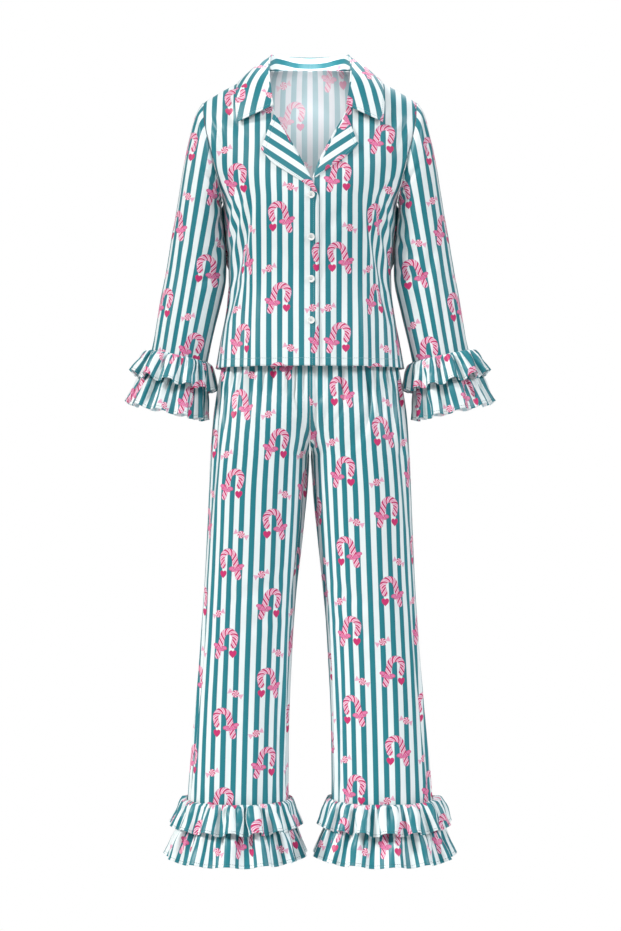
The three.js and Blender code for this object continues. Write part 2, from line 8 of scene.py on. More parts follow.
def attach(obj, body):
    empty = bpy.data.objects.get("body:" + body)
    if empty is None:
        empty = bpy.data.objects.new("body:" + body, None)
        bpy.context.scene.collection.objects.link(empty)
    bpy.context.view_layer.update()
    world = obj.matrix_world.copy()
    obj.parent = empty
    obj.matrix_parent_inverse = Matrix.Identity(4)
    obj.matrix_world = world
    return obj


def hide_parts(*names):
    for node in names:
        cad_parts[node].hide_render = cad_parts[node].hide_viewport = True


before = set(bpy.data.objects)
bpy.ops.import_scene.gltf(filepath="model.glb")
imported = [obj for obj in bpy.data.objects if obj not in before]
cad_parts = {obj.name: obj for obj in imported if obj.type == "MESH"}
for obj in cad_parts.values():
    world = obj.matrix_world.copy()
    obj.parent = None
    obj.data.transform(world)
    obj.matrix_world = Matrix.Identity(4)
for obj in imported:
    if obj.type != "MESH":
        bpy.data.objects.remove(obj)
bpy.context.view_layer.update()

mm = 0.001  # the sizes below are in millimetres, and turn to metres where a piece is placed


def clamp(value, low=0.0, high=1.0):
    return max(low, min(high, value))


def lerp(start, end, t):
    return start + (end - start) * t


def smooth(value, low, high):
    t = clamp((value - low) / (high - low))
    return t * t * (3 - 2 * t)


def power(value, exponent):
    return math.copysign(abs(value) ** exponent, value)


def hollow(distance, width):
    return math.exp(-((distance / width) ** 2))


# Reads a column of a table between its rows, on a smooth curve through them.
def readTable(table, column, place, key="z"):
    keys, values = table[key], table[column]
    last = len(keys) - 1
    falling = keys[0] > keys[-1]
    row = 0
    while row < last - 1 and (place < keys[row + 1] if falling else place > keys[row + 1]):
        row += 1

    def slope(i):
        before, after = max(i - 1, 0), min(i + 1, last)
        return (values[after] - values[before]) / (keys[after] - keys[before])

    span = keys[row + 1] - keys[row]
    t = clamp((place - keys[row]) / span)
    start = (2 * t**3 - 3 * t**2 + 1) * values[row] + (t**3 - 2 * t**2 + t) * span * slope(row)
    end = (3 * t**2 - 2 * t**3) * values[row + 1] + (t**3 - t**2) * span * slope(row + 1)
    return start + end


# A smooth curve through a row of points.
def through(points, place):
    last = len(points) - 1
    i = min(int(place), last - 1)
    t = place - i
    a, b, c, d = (points[k] for k in (max(i - 1, 0), i, i + 1, min(i + 2, last)))
    return b + (c - a + (a * 2 - b * 5 + c * 4 - d + ((b - c) * 3 + d - a) * t) * t) * (t * 0.5)


# Reads a column of a table on straight lines between its rows.
def onLine(table, column, place, key):
    keys, values = table[key], table[column]
    k = next(i for i in range(len(keys) - 1) if place <= keys[i + 1] + 1e-9)
    return lerp(values[k], values[k + 1], (place - keys[k]) / (keys[k + 1] - keys[k]))


def addObject(name, data):
    holder = bpy.data.objects.new(name, data)
    bpy.context.collection.objects.link(holder)
    return holder


def objectFrom(bm, name, materials):
    mesh = bpy.data.meshes.new(name)
    bm.to_mesh(mesh)
    bm.free()
    for material in materials:
        mesh.materials.append(material)
    return addObject(name, mesh)


# Camera and lights

view = {
    "distance": 3500,
    "aim": (0.9, -731.7),
    "lens": 73.2,
    "sensor": 36,
    "floorBelowHem": 900,
    "floorRadius": 3000,
}
# Directions that the light comes from, in degrees round from the front and above the floor
suns = {
    "leftSun": {"round": -62, "above": 34, "spread": 12, "power": 2.5, "tint": "#FFFDFA"},
    "rightSun": {"round": 64, "above": 30, "spread": 16, "power": 1.5, "tint": "#F8FBFF"},
    "backSun": {"round": 165, "above": 50, "spread": 50, "power": 1.2, "tint": "#F6FAFF"},
}
# Lamps, in millimetres and watts: a panel lights the chest, and a narrow spot shines through the neck
# on the inside of the back. Their own sizes are in metres.
lamps = {
    "chestPanel": {
        "kind": "AREA", "at": (0, -1800, 600), "aim": (0, -100, -250), "power": 9.0, "shape": {"size": 0.9},
    },
    "neckSpot": {
        "kind": "SPOT", "at": (0, -300, 130), "aim": (0, 85, -12), "power": 6.5,
        "shape": {"shadow_soft_size": 0.05, "spot_size": math.radians(34), "spot_blend": 0.9},
    },
}
worldLight = {"tint": "#FFFFFF", "strength": 0.17, "seen": 1.0}


def makeCamera():
    camera = bpy.data.cameras.new("camera")
    camera.lens = view["lens"]
    camera.sensor_width = view["sensor"]
    holder = addObject("camera", camera)
    x, z = view["aim"]
    holder.location = (x * mm, -view["distance"] * mm, z * mm)
    holder.rotation_euler = (math.radians(90), 0, 0)
    bpy.context.scene.camera = holder


def linear(hexColour):
    channels = [int(hexColour[i : i + 2], 16) / 255 for i in (1, 3, 5)]
    return tuple(c / 12.92 if c <= 0.04045 else ((c + 0.055) / 1.055) ** 2.4 for c in channels)


def addLight(name, kind, power, along, **settings):
    lamp = bpy.data.lights.new(name, kind)
    lamp.energy = power
    for key, value in settings.items():
        setattr(lamp, key, value)
    holder = addObject(name, lamp)
    holder.rotation_euler = along.to_track_quat("-Z", "Y").to_euler()
    return holder


def makeLights():
    for name, sun in suns.items():
        turned, above = math.radians(sun["round"]), math.radians(sun["above"])
        level = math.cos(above)
        source = Vector((math.sin(turned) * level, -math.cos(turned) * level, math.sin(above)))
        spread = math.radians(sun["spread"])
        addLight(name, "SUN", sun["power"], -source, angle=spread, color=linear(sun["tint"]))
    for name, lamp in lamps.items():
        source, target = Vector(lamp["at"]) * mm, Vector(lamp["aim"]) * mm
        holder = addLight(name, lamp["kind"], lamp["power"], target - source, **lamp["shape"])
        holder.location = source
        holder.visible_camera = False
    world = bpy.data.worlds.new("studio")
    world.use_nodes = True
    background = world.node_tree.nodes["Background"]
    background.inputs["Color"].default_value = (*linear(worldLight["tint"]), 1)
    seen = addNode(world.node_tree, "LightPath")
    brightness = fade(world.node_tree, seen, 0.0, 1.0, worldLight["strength"], worldLight["seen"])
    world.node_tree.links.new(brightness, background.inputs["Strength"])
    bpy.context.scene.world = world
    bpy.context.scene.view_settings.view_transform = "Standard"


# Materials

# Adds a node with its settings and links, and gives back one of its outputs.
def addNode(tree, kind, *inputs, out=0, named=None, **settings):
    node = tree.nodes.new("ShaderNode" + kind)
    for key, value in settings.items():
        setattr(node, key, value)
    for key, value in [*enumerate(inputs), *(named or {}).items()]:
        if isinstance(value, bpy.types.NodeSocket):
            tree.links.new(value, node.inputs[key])
        elif value is not None:
            node.inputs[key].default_value = value
    return node.outputs[out]


def calc(tree, operation, *inputs):
    return addNode(tree, "Math", *inputs, operation=operation)


def vectorCalc(tree, operation, *inputs, scale=None):
    out = 1 if operation in ("LENGTH", "DISTANCE") else 0
    return addNode(tree, "VectorMath", *inputs, operation=operation, out=out, named={"Scale": scale})


def fade(tree, value, low, high, start, end, curve="LINEAR"):
    return addNode(tree, "MapRange", value, low, high, start, end, interpolation_type=curve)


def turnBy(tree, place, angle):
    return addNode(tree, "VectorRotate", place, rotation_type="Z_AXIS", named={"Angle": angle})


def flatPoint(tree, x, y):
    return addNode(tree, "CombineXYZ", x, y, 0.0)


def flatParts(tree, place):
    return addNode(tree, "SeparateXYZ", place).node.outputs[:2]


# Mixes two inks, each a hex colour or another node's output.
def mixInks(tree, factor, *pair):
    first, second = ((*linear(ink), 1) if isinstance(ink, str) else ink for ink in pair)
    return addNode(tree, "Mix", factor, data_type="RGBA", out=2, named={6: first, 7: second})


def newMaterial(name, **sockets):
    material = bpy.data.materials.new(name)
    material.use_nodes = True
    shader = material.node_tree.nodes["Principled BSDF"]
    for key, value in sockets.items():
        shader.inputs[key.replace("_", " ")].default_value = value
    return material, material.node_tree, shader


# The print is drawn in millimetres of the flat cloth: stripes along the grain, and candy canes with
# a bow and a heart, set out in a half drop with wrapped peppermints between them.
printPlan = {
    "stripePeriod": 19.9,
    "tealWidth": 9.8,
    "stripeBlur": 0.6,
    "edgeShade": {"from": 5.0, "to": 14.0, "strength": 0.55},
    "repeat": (79.6, 144.0),
    "tilt": math.radians(14),
    "cane": {
        "shift": 12.0, "stickLow": -25.0, "hookStart": 12.0, "hookRadius": 12.6, "tipLow": 2.0,
        "halfWidth": 5.6, "rim": 1.1, "rimStrength": 0.55, "band": 9.6, "slant": 0.9,
        "inks": {0.0: "crimson", 0.4: "blush", 0.58: "pink", 0.76: "blush"},
    },
    "bow": {
        "height": -10.0,
        "knot": 3.6,
        "loop": {"at": (-1.75, -0.05, 0.0), "turn": -24, "scale": (0.17, 0.27, 1.0)},
        "tail": {"at": (-1.05, 0.55, 0.0), "turn": 52, "scale": (0.105, 0.5, 1.0)},
        "shade": {"from": 0.55, "to": 0.9, "strength": 0.8},
    },
    "heart": {"at": (12.5, -19.0), "size": 7.2, "cleft": 0.72, "height": 1.12},
    "mint": {
        "at": (-19.9, 55.0), "radius": 6.9, "tilt": math.radians(-24), "bands": 6, "twist": 1.3,
        "bandEdge": (0.22, 0.27), "fanSpread": 0.6, "fanStart": 0.36, "fanEnd": 2.05, "pleats": 8.0,
    },
    "shadow": {"reach": 1.6, "blur": 2.2, "strength": 0.28},
}
printInks = {
    "teal": "#26828E", "tealDeep": "#17707D", "white": "#EDF6F7", "crimson": "#CF3270",
    "pink": "#E47DAC", "blush": "#F5D9E6", "shadow": "#8C7FA6",
}
reverseInks = {
    "teal": "#C2DADF", "tealDeep": "#B7D3D9", "white": "#F4F6F9", "crimson": "#F2B3C9",
    "pink": "#F6CFDC", "blush": "#F8ECF0", "shadow": "#DAD6E2",
}


# Stripes, a little deeper in colour along one edge.
def drawStripes(tree, inks, flat, across):
    period, half = printPlan["stripePeriod"], printPlan["stripePeriod"] / 2
    width, blur, shade = printPlan["tealWidth"] / 2, printPlan["stripeBlur"] / 2, printPlan["edgeShade"]
    folded = calc(tree, "PINGPONG", across, half)
    teal = fade(tree, folded, width - blur, width + blur, 1.0, 0.0, "SMOOTHSTEP")
    place = calc(tree, "FLOORED_MODULO", calc(tree, "ADD", across, half), period)
    depth = fade(tree, place, shade["from"], shade["to"], 0.0, shade["strength"])
    waver = addNode(tree, "TexNoise", flat, named={"Scale": 0.05, "Detail": 2.0})
    tealInk = mixInks(tree, calc(tree, "MULTIPLY", depth, waver), inks["teal"], inks["tealDeep"])
    return mixInks(tree, teal, inks["white"], tealInk)


# The place in a cell of the half drop. Each cell holds one motif, mirrored in every other cell.
def drawCells(tree, across, along):
    wide, tall = printPlan["repeat"]
    column = calc(tree, "MULTIPLY", across, 1 / wide)
    number = calc(tree, "FLOOR", column)
    halfDrop = calc(tree, "MULTIPLY", calc(tree, "FLOORED_MODULO", number, 2.0), 0.5)
    row = calc(tree, "MULTIPLY_ADD", along, 1 / tall, halfDrop)
    turn = calc(tree, "ADD", number, calc(tree, "FLOOR", row))
    side = calc(tree, "MULTIPLY_ADD", calc(tree, "FLOORED_MODULO", turn, 2.0), -2.0, 1.0)
    right = calc(tree, "MULTIPLY_ADD", calc(tree, "FRACT", column), wide, -wide / 2)
    up = calc(tree, "MULTIPLY_ADD", calc(tree, "FRACT", row), tall, -tall / 2)
    return flatPoint(tree, calc(tree, "MULTIPLY", right, side), up)


# Distance from the cane's middle line, which is its stick, its hook and its tip, and the cane's ink,
# in slanting bands that run up the stick and round the hook.
def drawCane(tree, inks, place):
    cane = printPlan["cane"]
    radius, hookStart = cane["hookRadius"], cane["hookStart"]
    x, y = flatParts(tree, place)
    ends = [
        vectorCalc(tree, "DISTANCE", place, flatPoint(tree, endX, addNode(tree, "Clamp", y, low, hookStart)))
        for endX, low in ((0.0, cane["stickLow"]), (2 * radius, cane["tipLow"]))
    ]
    hookMiddle = (radius, hookStart, 0.0)
    hookOff = calc(tree, "SUBTRACT", vectorCalc(tree, "DISTANCE", place, hookMiddle), radius)
    belowHook = calc(tree, "LESS_THAN", y, hookStart)
    farAway = 99.0
    hook = calc(tree, "MULTIPLY_ADD", belowHook, farAway, calc(tree, "ABSOLUTE", hookOff))
    distance = calc(tree, "MINIMUM", calc(tree, "MINIMUM", *ends), hook)

    hookX, hookY = flatParts(tree, vectorCalc(tree, "SUBTRACT", place, hookMiddle))
    hookAngle = calc(tree, "ARCTAN2", hookY, calc(tree, "MULTIPLY", hookX, -1.0))
    hookAlong = calc(tree, "MULTIPLY_ADD", hookAngle, radius, hookStart)
    hookSlant = calc(tree, "MULTIPLY_ADD", hookOff, -cane["slant"], hookAlong)
    stickSlant = calc(tree, "MULTIPLY_ADD", x, cane["slant"], y)
    slant = addNode(tree, "Mix", belowHook, None, hookSlant, stickSlant)
    band = calc(tree, "FRACT", calc(tree, "MULTIPLY", slant, 1 / cane["band"]))
    bands = addNode(tree, "ValToRGB", band)
    ramp = bands.node.color_ramp
    ramp.interpolation = "CONSTANT"
    for k, (start, ink) in enumerate(cane["inks"].items()):
        stop = ramp.elements[k] if k < 2 else ramp.elements.new(start)
        stop.position = start
        stop.color = (*linear(inks[ink]), 1)
    rim = fade(tree, distance, cane["halfWidth"] - cane["rim"], cane["halfWidth"], 0.0, cane["rimStrength"])
    return distance, mixInks(tree, rim, bands, inks["crimson"])


# A bow tied round the stick, with two loops, two tails and a knot.
def drawBow(tree, inks, place):
    bow = printPlan["bow"]
    local = vectorCalc(tree, "ADD", place, (0.0, -bow["height"], 0.0))
    x = flatParts(tree, vectorCalc(tree, "ABSOLUTE", local))[0]
    folded = flatPoint(tree, x, flatParts(tree, local)[1])
    ribbons = []
    for part in (bow["loop"], bow["tail"]):
        turn = (0.0, 0.0, math.radians(part["turn"]))
        ribbon = addNode(tree, "Mapping", folded, part["at"], turn, part["scale"])
        ribbons.append(vectorCalc(tree, "LENGTH", ribbon))
    knot = calc(tree, "MULTIPLY", vectorCalc(tree, "LENGTH", local), 1 / bow["knot"])
    distance = calc(tree, "MINIMUM", calc(tree, "MINIMUM", *ribbons), knot)
    shade = fade(tree, distance, bow["shade"]["from"], bow["shade"]["to"], 0.0, bow["shade"]["strength"])
    return distance, mixInks(tree, shade, inks["pink"], inks["crimson"])


# A heart hangs under the cane's tip.
def drawHeart(tree, cell):
    heart = printPlan["heart"]
    x, y, unit = *heart["at"], 1 / heart["size"]
    local = addNode(tree, "Mapping", cell, (-x * unit, -y * unit, 0.0), (0.0, 0.0, 0.0), (unit, unit, 1.0))
    side, up = flatParts(tree, local)
    wing = calc(tree, "ABSOLUTE", side)
    lobe = calc(tree, "MULTIPLY", calc(tree, "SQRT", wing), -heart["cleft"])
    lifted = calc(tree, "MULTIPLY_ADD", up, heart["height"], lobe)
    return vectorCalc(tree, "LENGTH", flatPoint(tree, wing, lifted))


# The peppermint is a disc of turning bands, and its wrapper fans out in pleats on both sides.
def drawMint(tree, inks, cell):
    mint = printPlan["mint"]
    place = vectorCalc(tree, "ADD", cell, (-mint["at"][0], -mint["at"][1], 0.0))
    local = vectorCalc(tree, "SCALE", turnBy(tree, place, mint["tilt"]), scale=1 / mint["radius"])
    disc = vectorCalc(tree, "LENGTH", local)
    x, y = flatParts(tree, local)
    twisted = calc(tree, "MULTIPLY_ADD", disc, mint["twist"], calc(tree, "ARCTAN2", y, x))
    turns = calc(tree, "MULTIPLY", twisted, mint["bands"] / (2 * math.pi))
    band = fade(tree, calc(tree, "PINGPONG", turns, 0.5), *mint["bandEdge"], 0.0, 1.0, "SMOOTHSTEP")
    discInk = mixInks(tree, band, inks["blush"], inks["crimson"])

    foldX, foldY = flatParts(tree, vectorCalc(tree, "ABSOLUTE", local))
    fan = calc(tree, "MULTIPLY_ADD", foldX, -mint["fanSpread"], foldY)
    fanOff = calc(tree, "ADD", fan, mint["fanStart"])
    wrapper = calc(tree, "MAXIMUM", fanOff, calc(tree, "SUBTRACT", foldX, mint["fanEnd"]))
    slope = calc(tree, "DIVIDE", foldY, foldX)
    pleat = calc(tree, "FRACT", calc(tree, "MULTIPLY", slope, mint["pleats"]))
    return disc, discInk, wrapper, mixInks(tree, pleat, inks["pink"], inks["blush"])


# Printed polyester satin: a smooth weave with a soft sheen, whose print shows paler on the reverse.
def printedSatin(name, inks, roughness):
    material, tree, shader = newMaterial(
        name, Roughness=roughness, Specular_IOR_Level=0.42, Sheen_Weight=0.12, Sheen_Roughness=0.4
    )
    cut = addNode(tree, "UVMap", uv_map="cut")
    flat = vectorCalc(tree, "SCALE", cut, scale=1000.0)
    across, along = flatParts(tree, flat)
    cell = drawCells(tree, across, along)
    shift = (printPlan["cane"]["shift"], 0.0, 0.0)
    place = vectorCalc(tree, "ADD", turnBy(tree, cell, printPlan["tilt"]), shift)
    cane, caneInk = drawCane(tree, inks, place)
    bow, bowInk = drawBow(tree, inks, place)
    mint, mintInk, wrapper, wrapperInk = drawMint(tree, inks, cell)
    halfWidth, shadow = printPlan["cane"]["halfWidth"], printPlan["shadow"]
    # each layer of ink, by its distance, the edge of it, the edge's blur and the ink's strength
    layers = (
        (wrapper, 0.0, 0.1, 1.0, wrapperInk),
        (mint, 1.0, 0.08, 1.0, mintInk),
        (cane, halfWidth + shadow["reach"], shadow["blur"], shadow["strength"], inks["shadow"]),
        (cane, halfWidth, 0.35, 1.0, caneInk),
        (bow, 1.0, 0.08, 1.0, bowInk),
        (drawHeart(tree, cell), 1.0, 0.08, 1.0, inks["crimson"]),
    )
    inked = drawStripes(tree, inks, flat, across)
    for distance, edge, blur, strength, ink in layers:
        mask = fade(tree, distance, edge - blur, edge, strength, 0.0, "SMOOTHSTEP")
        inked = mixInks(tree, mask, inked, ink)
    tree.links.new(inked, shader.inputs["Base Color"])

    # The satin's floats are too fine to show, so they are drawn 1.2 mm long and 0.35 mm apart.
    threads = addNode(tree, "Mapping", flat, (0.0, 0.0, 0.0), (0.0, 0.0, 0.0), (2.8, 0.8, 1.0))
    weave = addNode(tree, "TexNoise", threads, named={"Scale": 1.0, "Detail": 1.0})
    slub = addNode(tree, "TexNoise", flat, named={"Scale": 0.09, "Detail": 3.0})
    height = calc(tree, "MULTIPLY_ADD", slub, 3.0, weave)
    bump = addNode(tree, "Bump", named={"Strength": 0.12, "Distance": 0.0004, "Height": height})
    tree.links.new(bump, shader.inputs["Normal"])
    return material


# A material of two close tones, mixed by a texture.
def twoTones(name, tones, texture, scales, out=0, **sockets):
    material, tree, shader = newMaterial(name, **sockets)
    place = addNode(tree, "TexCoord", out=3)
    mixed = mixInks(tree, addNode(tree, texture, place, out=out, named=scales), *tones)
    tree.links.new(mixed, shader.inputs["Base Color"])
    return material


# Moulded polyester resin: smooth and glossy with a faint cloudiness.
def buttonResin():
    return twoTones(
        "polyester_resin", ("#FBFBF8", "#E9EDEC"), "TexNoise", {"Scale": 260.0, "Detail": 2.0},
        Roughness=0.22, Specular_IOR_Level=0.5, Coat_Weight=0.25,
    )


# Spun polyester thread: matt, with a twist whose fine ribs are painted shade: darker bands where the grooves
# between the plies fall in shade.
def sewingThread(name, tint):
    grooveShade = (*[c * 0.8 for c in linear(tint)], 1)
    return twoTones(
        name, (tint, grooveShade), "TexWave", {"Scale": 700.0, "Distortion": 2.0}, out=1,
        Roughness=0.7, Sheen_Weight=0.2,
    )


# Opal acrylic of a light table: matt, evenly pale, and lit a little from below.
def opalAcrylic():
    return twoTones(
        "opal_acrylic", ("#FBFCFC", "#F8F9F9"), "TexNoise", {"Scale": 0.6},
        Roughness=0.9, Emission_Strength=0.25, Emission_Color=(1, 1, 1, 1),
    )


# The cloth's cut and hang

torso = {
    "z": (40, 0, -60, -100, -150, -200, -246, -300, -350, -392, -440, -500, -553),
    "half": (240, 238, 236, 228, 215, 185, 161, 156, 151, 149.5, 153, 165, 174.5),
    "front": (56, 62, 75, 85, 99, 112, 117, 113, 106, 102, 103, 108, 113),
    "back": (74, 82, 93, 98, 100, 98, 94, 87, 82, 80, 87, 98, 105),
    "squareness": 2.3,
    "shoulderRound": 90,
}
armhole = {
    "z": (-61, -90, -120, -150, -180, -210, -246),
    "x": (197, 194.5, 189.5, 182.5, 175.5, 168.5, 161),
}
shoulder = {"neckHalf": 76, "half": 197, "drop": -61, "bow": 4, "backNeckRise": 10}
jacketRows = {"hem": -553, "underarm": -246, "toShoulder": 190, "hemStitch": 16}
frontEdge = {
    "z": (0, -35, -71, -93, -133, -182, -219, -250, -268, -560),
    "over": (76, 74, 70, 64, 42, 15.5, -3, -15.5, -16, -16),
    "under": (76, 74, 70, 64, 42, 17, 3, -11, -12, -12),
}
sideFold = {
    "top": -262, "bottom": -452, "xTop": 110, "xBottom": 136, "width": 15, "ridge": 1.5, "trough": 6,
    "seamClear": (8, 40),
}
overlap = {"lift": 2.1, "fadeFrom": 14, "fadeTo": 42}
seamGap = 0.4


def shoulderLine(x):
    along = (abs(x) - shoulder["neckHalf"]) / (shoulder["half"] - shoulder["neckHalf"])
    return along * shoulder["drop"] + shoulder["bow"] * math.sin(math.pi * clamp(along))


def bodyDepth(x, z, face):
    p = torso["squareness"]
    reach = min(abs(x) / readTable(torso, "half", z), 1)
    below = clamp((shoulderLine(x) - z) / torso["shoulderRound"])
    return readTable(torso, face, z) * (1 - reach**p) ** (1 / p) * math.sqrt(1 - (1 - below) ** 2)


def sideFoldDepth(x, z):
    fold = sideFold
    down = (fold["top"] - z) / (fold["top"] - fold["bottom"])
    taper = math.sin(math.pi * clamp(down))
    past = (abs(x) - lerp(fold["xTop"], fold["xBottom"], down)) / fold["width"]
    shape = fold["ridge"] * hollow(past + 0.6, 1) - fold["trough"] * hollow(past - 0.6, 1)
    return taper * smooth(bodyDepth(x, z, "front"), *fold["seamClear"]) * shape


def overlapLift(x):
    return overlap["lift"] * (1 - smooth(x, overlap["fadeFrom"], overlap["fadeTo"]))


# Folds, listed a row for each: where it starts and ends, its width, its depth and its bow.
def foldTable(*rows):
    return [dict(zip(("from", "to", "width", "depth", "bow"), row)) for row in rows]


# Depth of a panel's folds at a place: each is a soft trough, or a ridge where its depth is above
# nought, that starts and ends in nothing and bows a little to one side.
def foldDepth(folds, x, y, squash=1.0):
    total = 0
    for fold in folds:
        (x0, y0), (x1, y1) = fold["from"], fold["to"]
        dx, dy = x1 - x0, (y1 - y0) * squash
        length = math.hypot(dx, dy)
        px, py = x - x0, (y - y0) * squash
        along = (px * dx + py * dy) / length**2
        if not -0.02 < along < 1.02:
            continue
        off = (px * dy - py * dx) / length - fold.get("bow", 0) * math.sin(math.pi * clamp(along))
        taper = math.sin(math.pi * clamp(along)) ** 0.7
        lip = 0.38 * hollow(abs(off) - 1.9 * fold["width"], fold["width"])
        total += fold["depth"] * taper * (hollow(off, fold["width"]) - lip)
    return total


# The slow unevenness of hanging cloth.
def softness(point, strength=1.0, scale=70):
    broad = noise.noise(Vector((point.x, point.y, point.z * 0.55)) / scale)
    fine = noise.noise(Vector((point.x + 300, point.y, point.z * 0.7)) / (scale * 0.38))
    return strength * (1.1 * broad + 0.4 * fine)


# Faint folds that run down hanging satin, where it catches the light in streaks.
def streaks(x, z, strength=1.0):
    broad = noise.noise(Vector((x / 17, z / 210, 3.7)))
    fine = noise.noise(Vector((x / 7.5, z / 130, 9.1)))
    return strength * (broad + 0.35 * fine)


# Cloth pulls in at a sewn edge.
def seamPull(distance, depth=0.9, width=3.0):
    return -depth * hollow(max(distance, 0), width)


sides = ((1, "left", "under"), (-1, "right", "over"))
clothMaterials = []
stitchRuns = {"pale": [], "teal": []}  # the lines that stitches follow, on the finished cloth


# Makes a piece of cloth from a flat grid: each point of it is placed by the piece's form, keeps its
# place on the flat cut as its UV, and then moves out or in by the piece's relief.
def makeCloth(
    node, settings, form, grain, relief, mirror=False, closed=False, stitches=(), wall=0.9,
    reverse=1, cutWidth=None,
):
    columns, rows = settings["columns"], settings["rows"]
    bm = bmesh.new()
    bmesh.ops.create_grid(bm, x_segments=columns, y_segments=rows, size=0.5)
    place = bm.verts.layers.float_vector.new("place")
    points = sorted(bm.verts, key=lambda v: (round(v.co.y, 5), round(v.co.x, 5)))
    grid = [points[r * (columns + 1) : (r + 1) * (columns + 1)] for r in range(rows + 1)]
    for r, line in enumerate(grid):
        for c, vert in enumerate(line):
            u, v = 1 - c / columns if mirror else c / columns, r / rows
            vert.co = form(u, v)
            if mirror:
                vert.co.x = -vert.co.x
            vert[place] = (u, v, 0)
    across = [[0.0] for _ in grid]
    for r, line in enumerate(grid):
        for c in range(columns):
            across[r].append(across[r][-1] + (line[c + 1].co - line[c].co).length)
    down = [[0.0] * (columns + 1) for _ in grid]
    for r in range(rows - 1, -1, -1):
        for c in range(columns + 1):
            down[r][c] = down[r + 1][c] + (grid[r + 1][c].co - grid[r][c].co).length

    # Length along a row, from left to right as the cloth's right side is seen, and down a column.
    def lengthAt(lengths, u):
        c = clamp(1 - u if mirror else u) * columns
        low = min(int(c), columns - 1)
        return lerp(lengths[low], lengths[low + 1], c - low)

    cutPlace = {}
    for r, line in enumerate(grid):
        run = lambda u, row=r: lengthAt(across[row], u)
        fall = lambda u, row=r: lengthAt(down[row], u)
        for vert in line:
            u, v, _ = vert[place]
            cutPlace[vert] = [length * mm for length in grain(u, v, vert.co, run, fall)]
    uv = bm.loops.layers.uv.new("cut")
    for face in bm.faces:
        face.smooth = True
        for loop in face.loops:
            loop[uv].uv = cutPlace[loop.vert]
    area = sum(face.calc_area() for face in bm.faces)
    if closed:
        bmesh.ops.remove_doubles(bm, verts=bm.verts, dist=0.01)
    bm.normal_update()
    moves = {vert: vert.normal * relief(*vert[place][:2], vert.co) for vert in bm.verts}
    for vert, move in moves.items():
        vert.co += move
    bmesh.ops.scale(bm, vec=(mm, mm, mm), verts=bm.verts)
    bm.normal_update()
    for line in stitches:
        verts = grid[line["row"]] if "row" in line else [row[line["column"]] for row in grid]
        verts = [vert for vert in verts[: line.get("end")] if vert.is_valid]
        run = [(vert.co.copy(), vert.normal.copy()) for vert in verts]
        stitchRuns[line.get("thread", "pale")].append(run + run[:1] if closed and "row" in line else run)

    obj = objectFrom(bm, f"satin_{node}", clothMaterials)
    shell = obj.modifiers.new("wall", "SOLIDIFY")
    shell.thickness = wall * mm
    shell.offset = -1
    shell.material_offset = reverse
    shell.material_offset_rim = 0
    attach(obj, "root")
    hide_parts(node)
    width, length = cutWidth or max(line[-1] for line in across), max(down[0])
    print(f"{obj.name}: cut {width:.0f} x {length:.0f} mm")


# Jacket fronts

jacketFront = {
    "columns": 66,
    "rows": 150,
    "underarmShare": 0.58,
    "stripesFrom": {"over": 15.2, "under": -12.6},
    "stripesTurn": (-275, -150),
    "drag": {"reach": 26, "across": (96, 140), "starts": (232, 318), "eases": (372, 470), "easeBy": 0.75},
    "widthLow": 230,
    "widthHigh": 130,
    "noiseAt": {"across": 0, "depth": 0},
    "folds": foldTable(
        ((102, -246), (141, -412), 6.4, -4.6, 4),
        ((122, -250), (147, -352), 5, -3.4, 3),
        ((140, -246), (153, -312), 4, -2.4),
        ((126, -398), (148, -474), 6, -3.4, -3),
        ((160, -206), (118, -264), 5, -3.6, 3),
        ((150, -84), (104, -150), 9, -2.0, -4),
        ((184, -92), (152, -172), 6, -2.4, 3),
        ((70, -262), (24, -326), 10, -1.8, 4),
        ((60, -336), (20, -398), 9, -1.4, 3),
        ((54, -412), (66, -600), 10, -2.6, 4),
        ((108, -404), (124, -610), 11, -3.8, -5),
        ((86, -430), (94, -610), 10, 2.0),
        ((30, -450), (27, -600), 9, -1.5, 2),
    ),
}


def topShare(t):
    return 1 - (1 - t) ** 1.7


def bodyRow(v):
    share = jacketFront["underarmShare"]
    return v / share if v < share else 1 + topShare((v - share) / (1 - share))


# How far a row is on its way from the underarm to the shoulder, and where its side is.
def bodySide(v):
    level = bodyRow(v)
    rise = clamp(level - 1)
    if not rise:
        z = lerp(jacketRows["hem"], jacketRows["underarm"], clamp(level))
        return rise, readTable(torso, "half", z), z
    z = lerp(jacketRows["underarm"], shoulder["drop"], rise)
    return rise, readTable(armhole, "x", z) - seamGap / 2, z


def frontForm(layer):
    def form(u, v):
        rise, sideX, sideZ = bodySide(v)
        edgeZ = lerp(jacketRows["underarm"], 0, rise) if rise else sideZ
        edgeX = readTable(frontEdge, layer, edgeZ)
        exponent = 2 / torso["squareness"]
        start = math.asin(power(edgeX / sideX, 1 / exponent))
        ringX = sideX * power(math.sin(lerp(start, math.pi / 2, u)), exponent)
        x = lerp(ringX, lerp(edgeX, sideX, u), rise)
        share = (x - edgeX) / (sideX - edgeX)
        z = lerp(edgeZ, sideZ, share) + shoulder["bow"] * math.sin(math.pi * share) * rise**3
        lift = overlapLift(x) if layer == "over" else 0
        return Vector((x, -bodyDepth(x, z, "front") - sideFoldDepth(x, z) - lift - seamGap / 2, z))

    return form


# The stripes hang straight down from the shoulder, and beside the waist the folds drag them towards
# the middle.
def frontGrain(side, layer):
    def grain(u, v, point, run, fall):
        x, z = abs(point.x), point.z
        around = abs(run(u) - run(0)) + readTable(frontEdge, layer, z)
        reach = lerp(around, x, smooth(z, *jacketFront["stripesTurn"]))
        drag = jacketFront["drag"]
        window = smooth(-z, *drag["starts"]) * (1 - drag["easeBy"] * smooth(-z, *drag["eases"]))
        reach += drag["reach"] * smooth(x, *drag["across"]) * window
        return side * reach + jacketFront["stripesFrom"][layer], z

    return grain


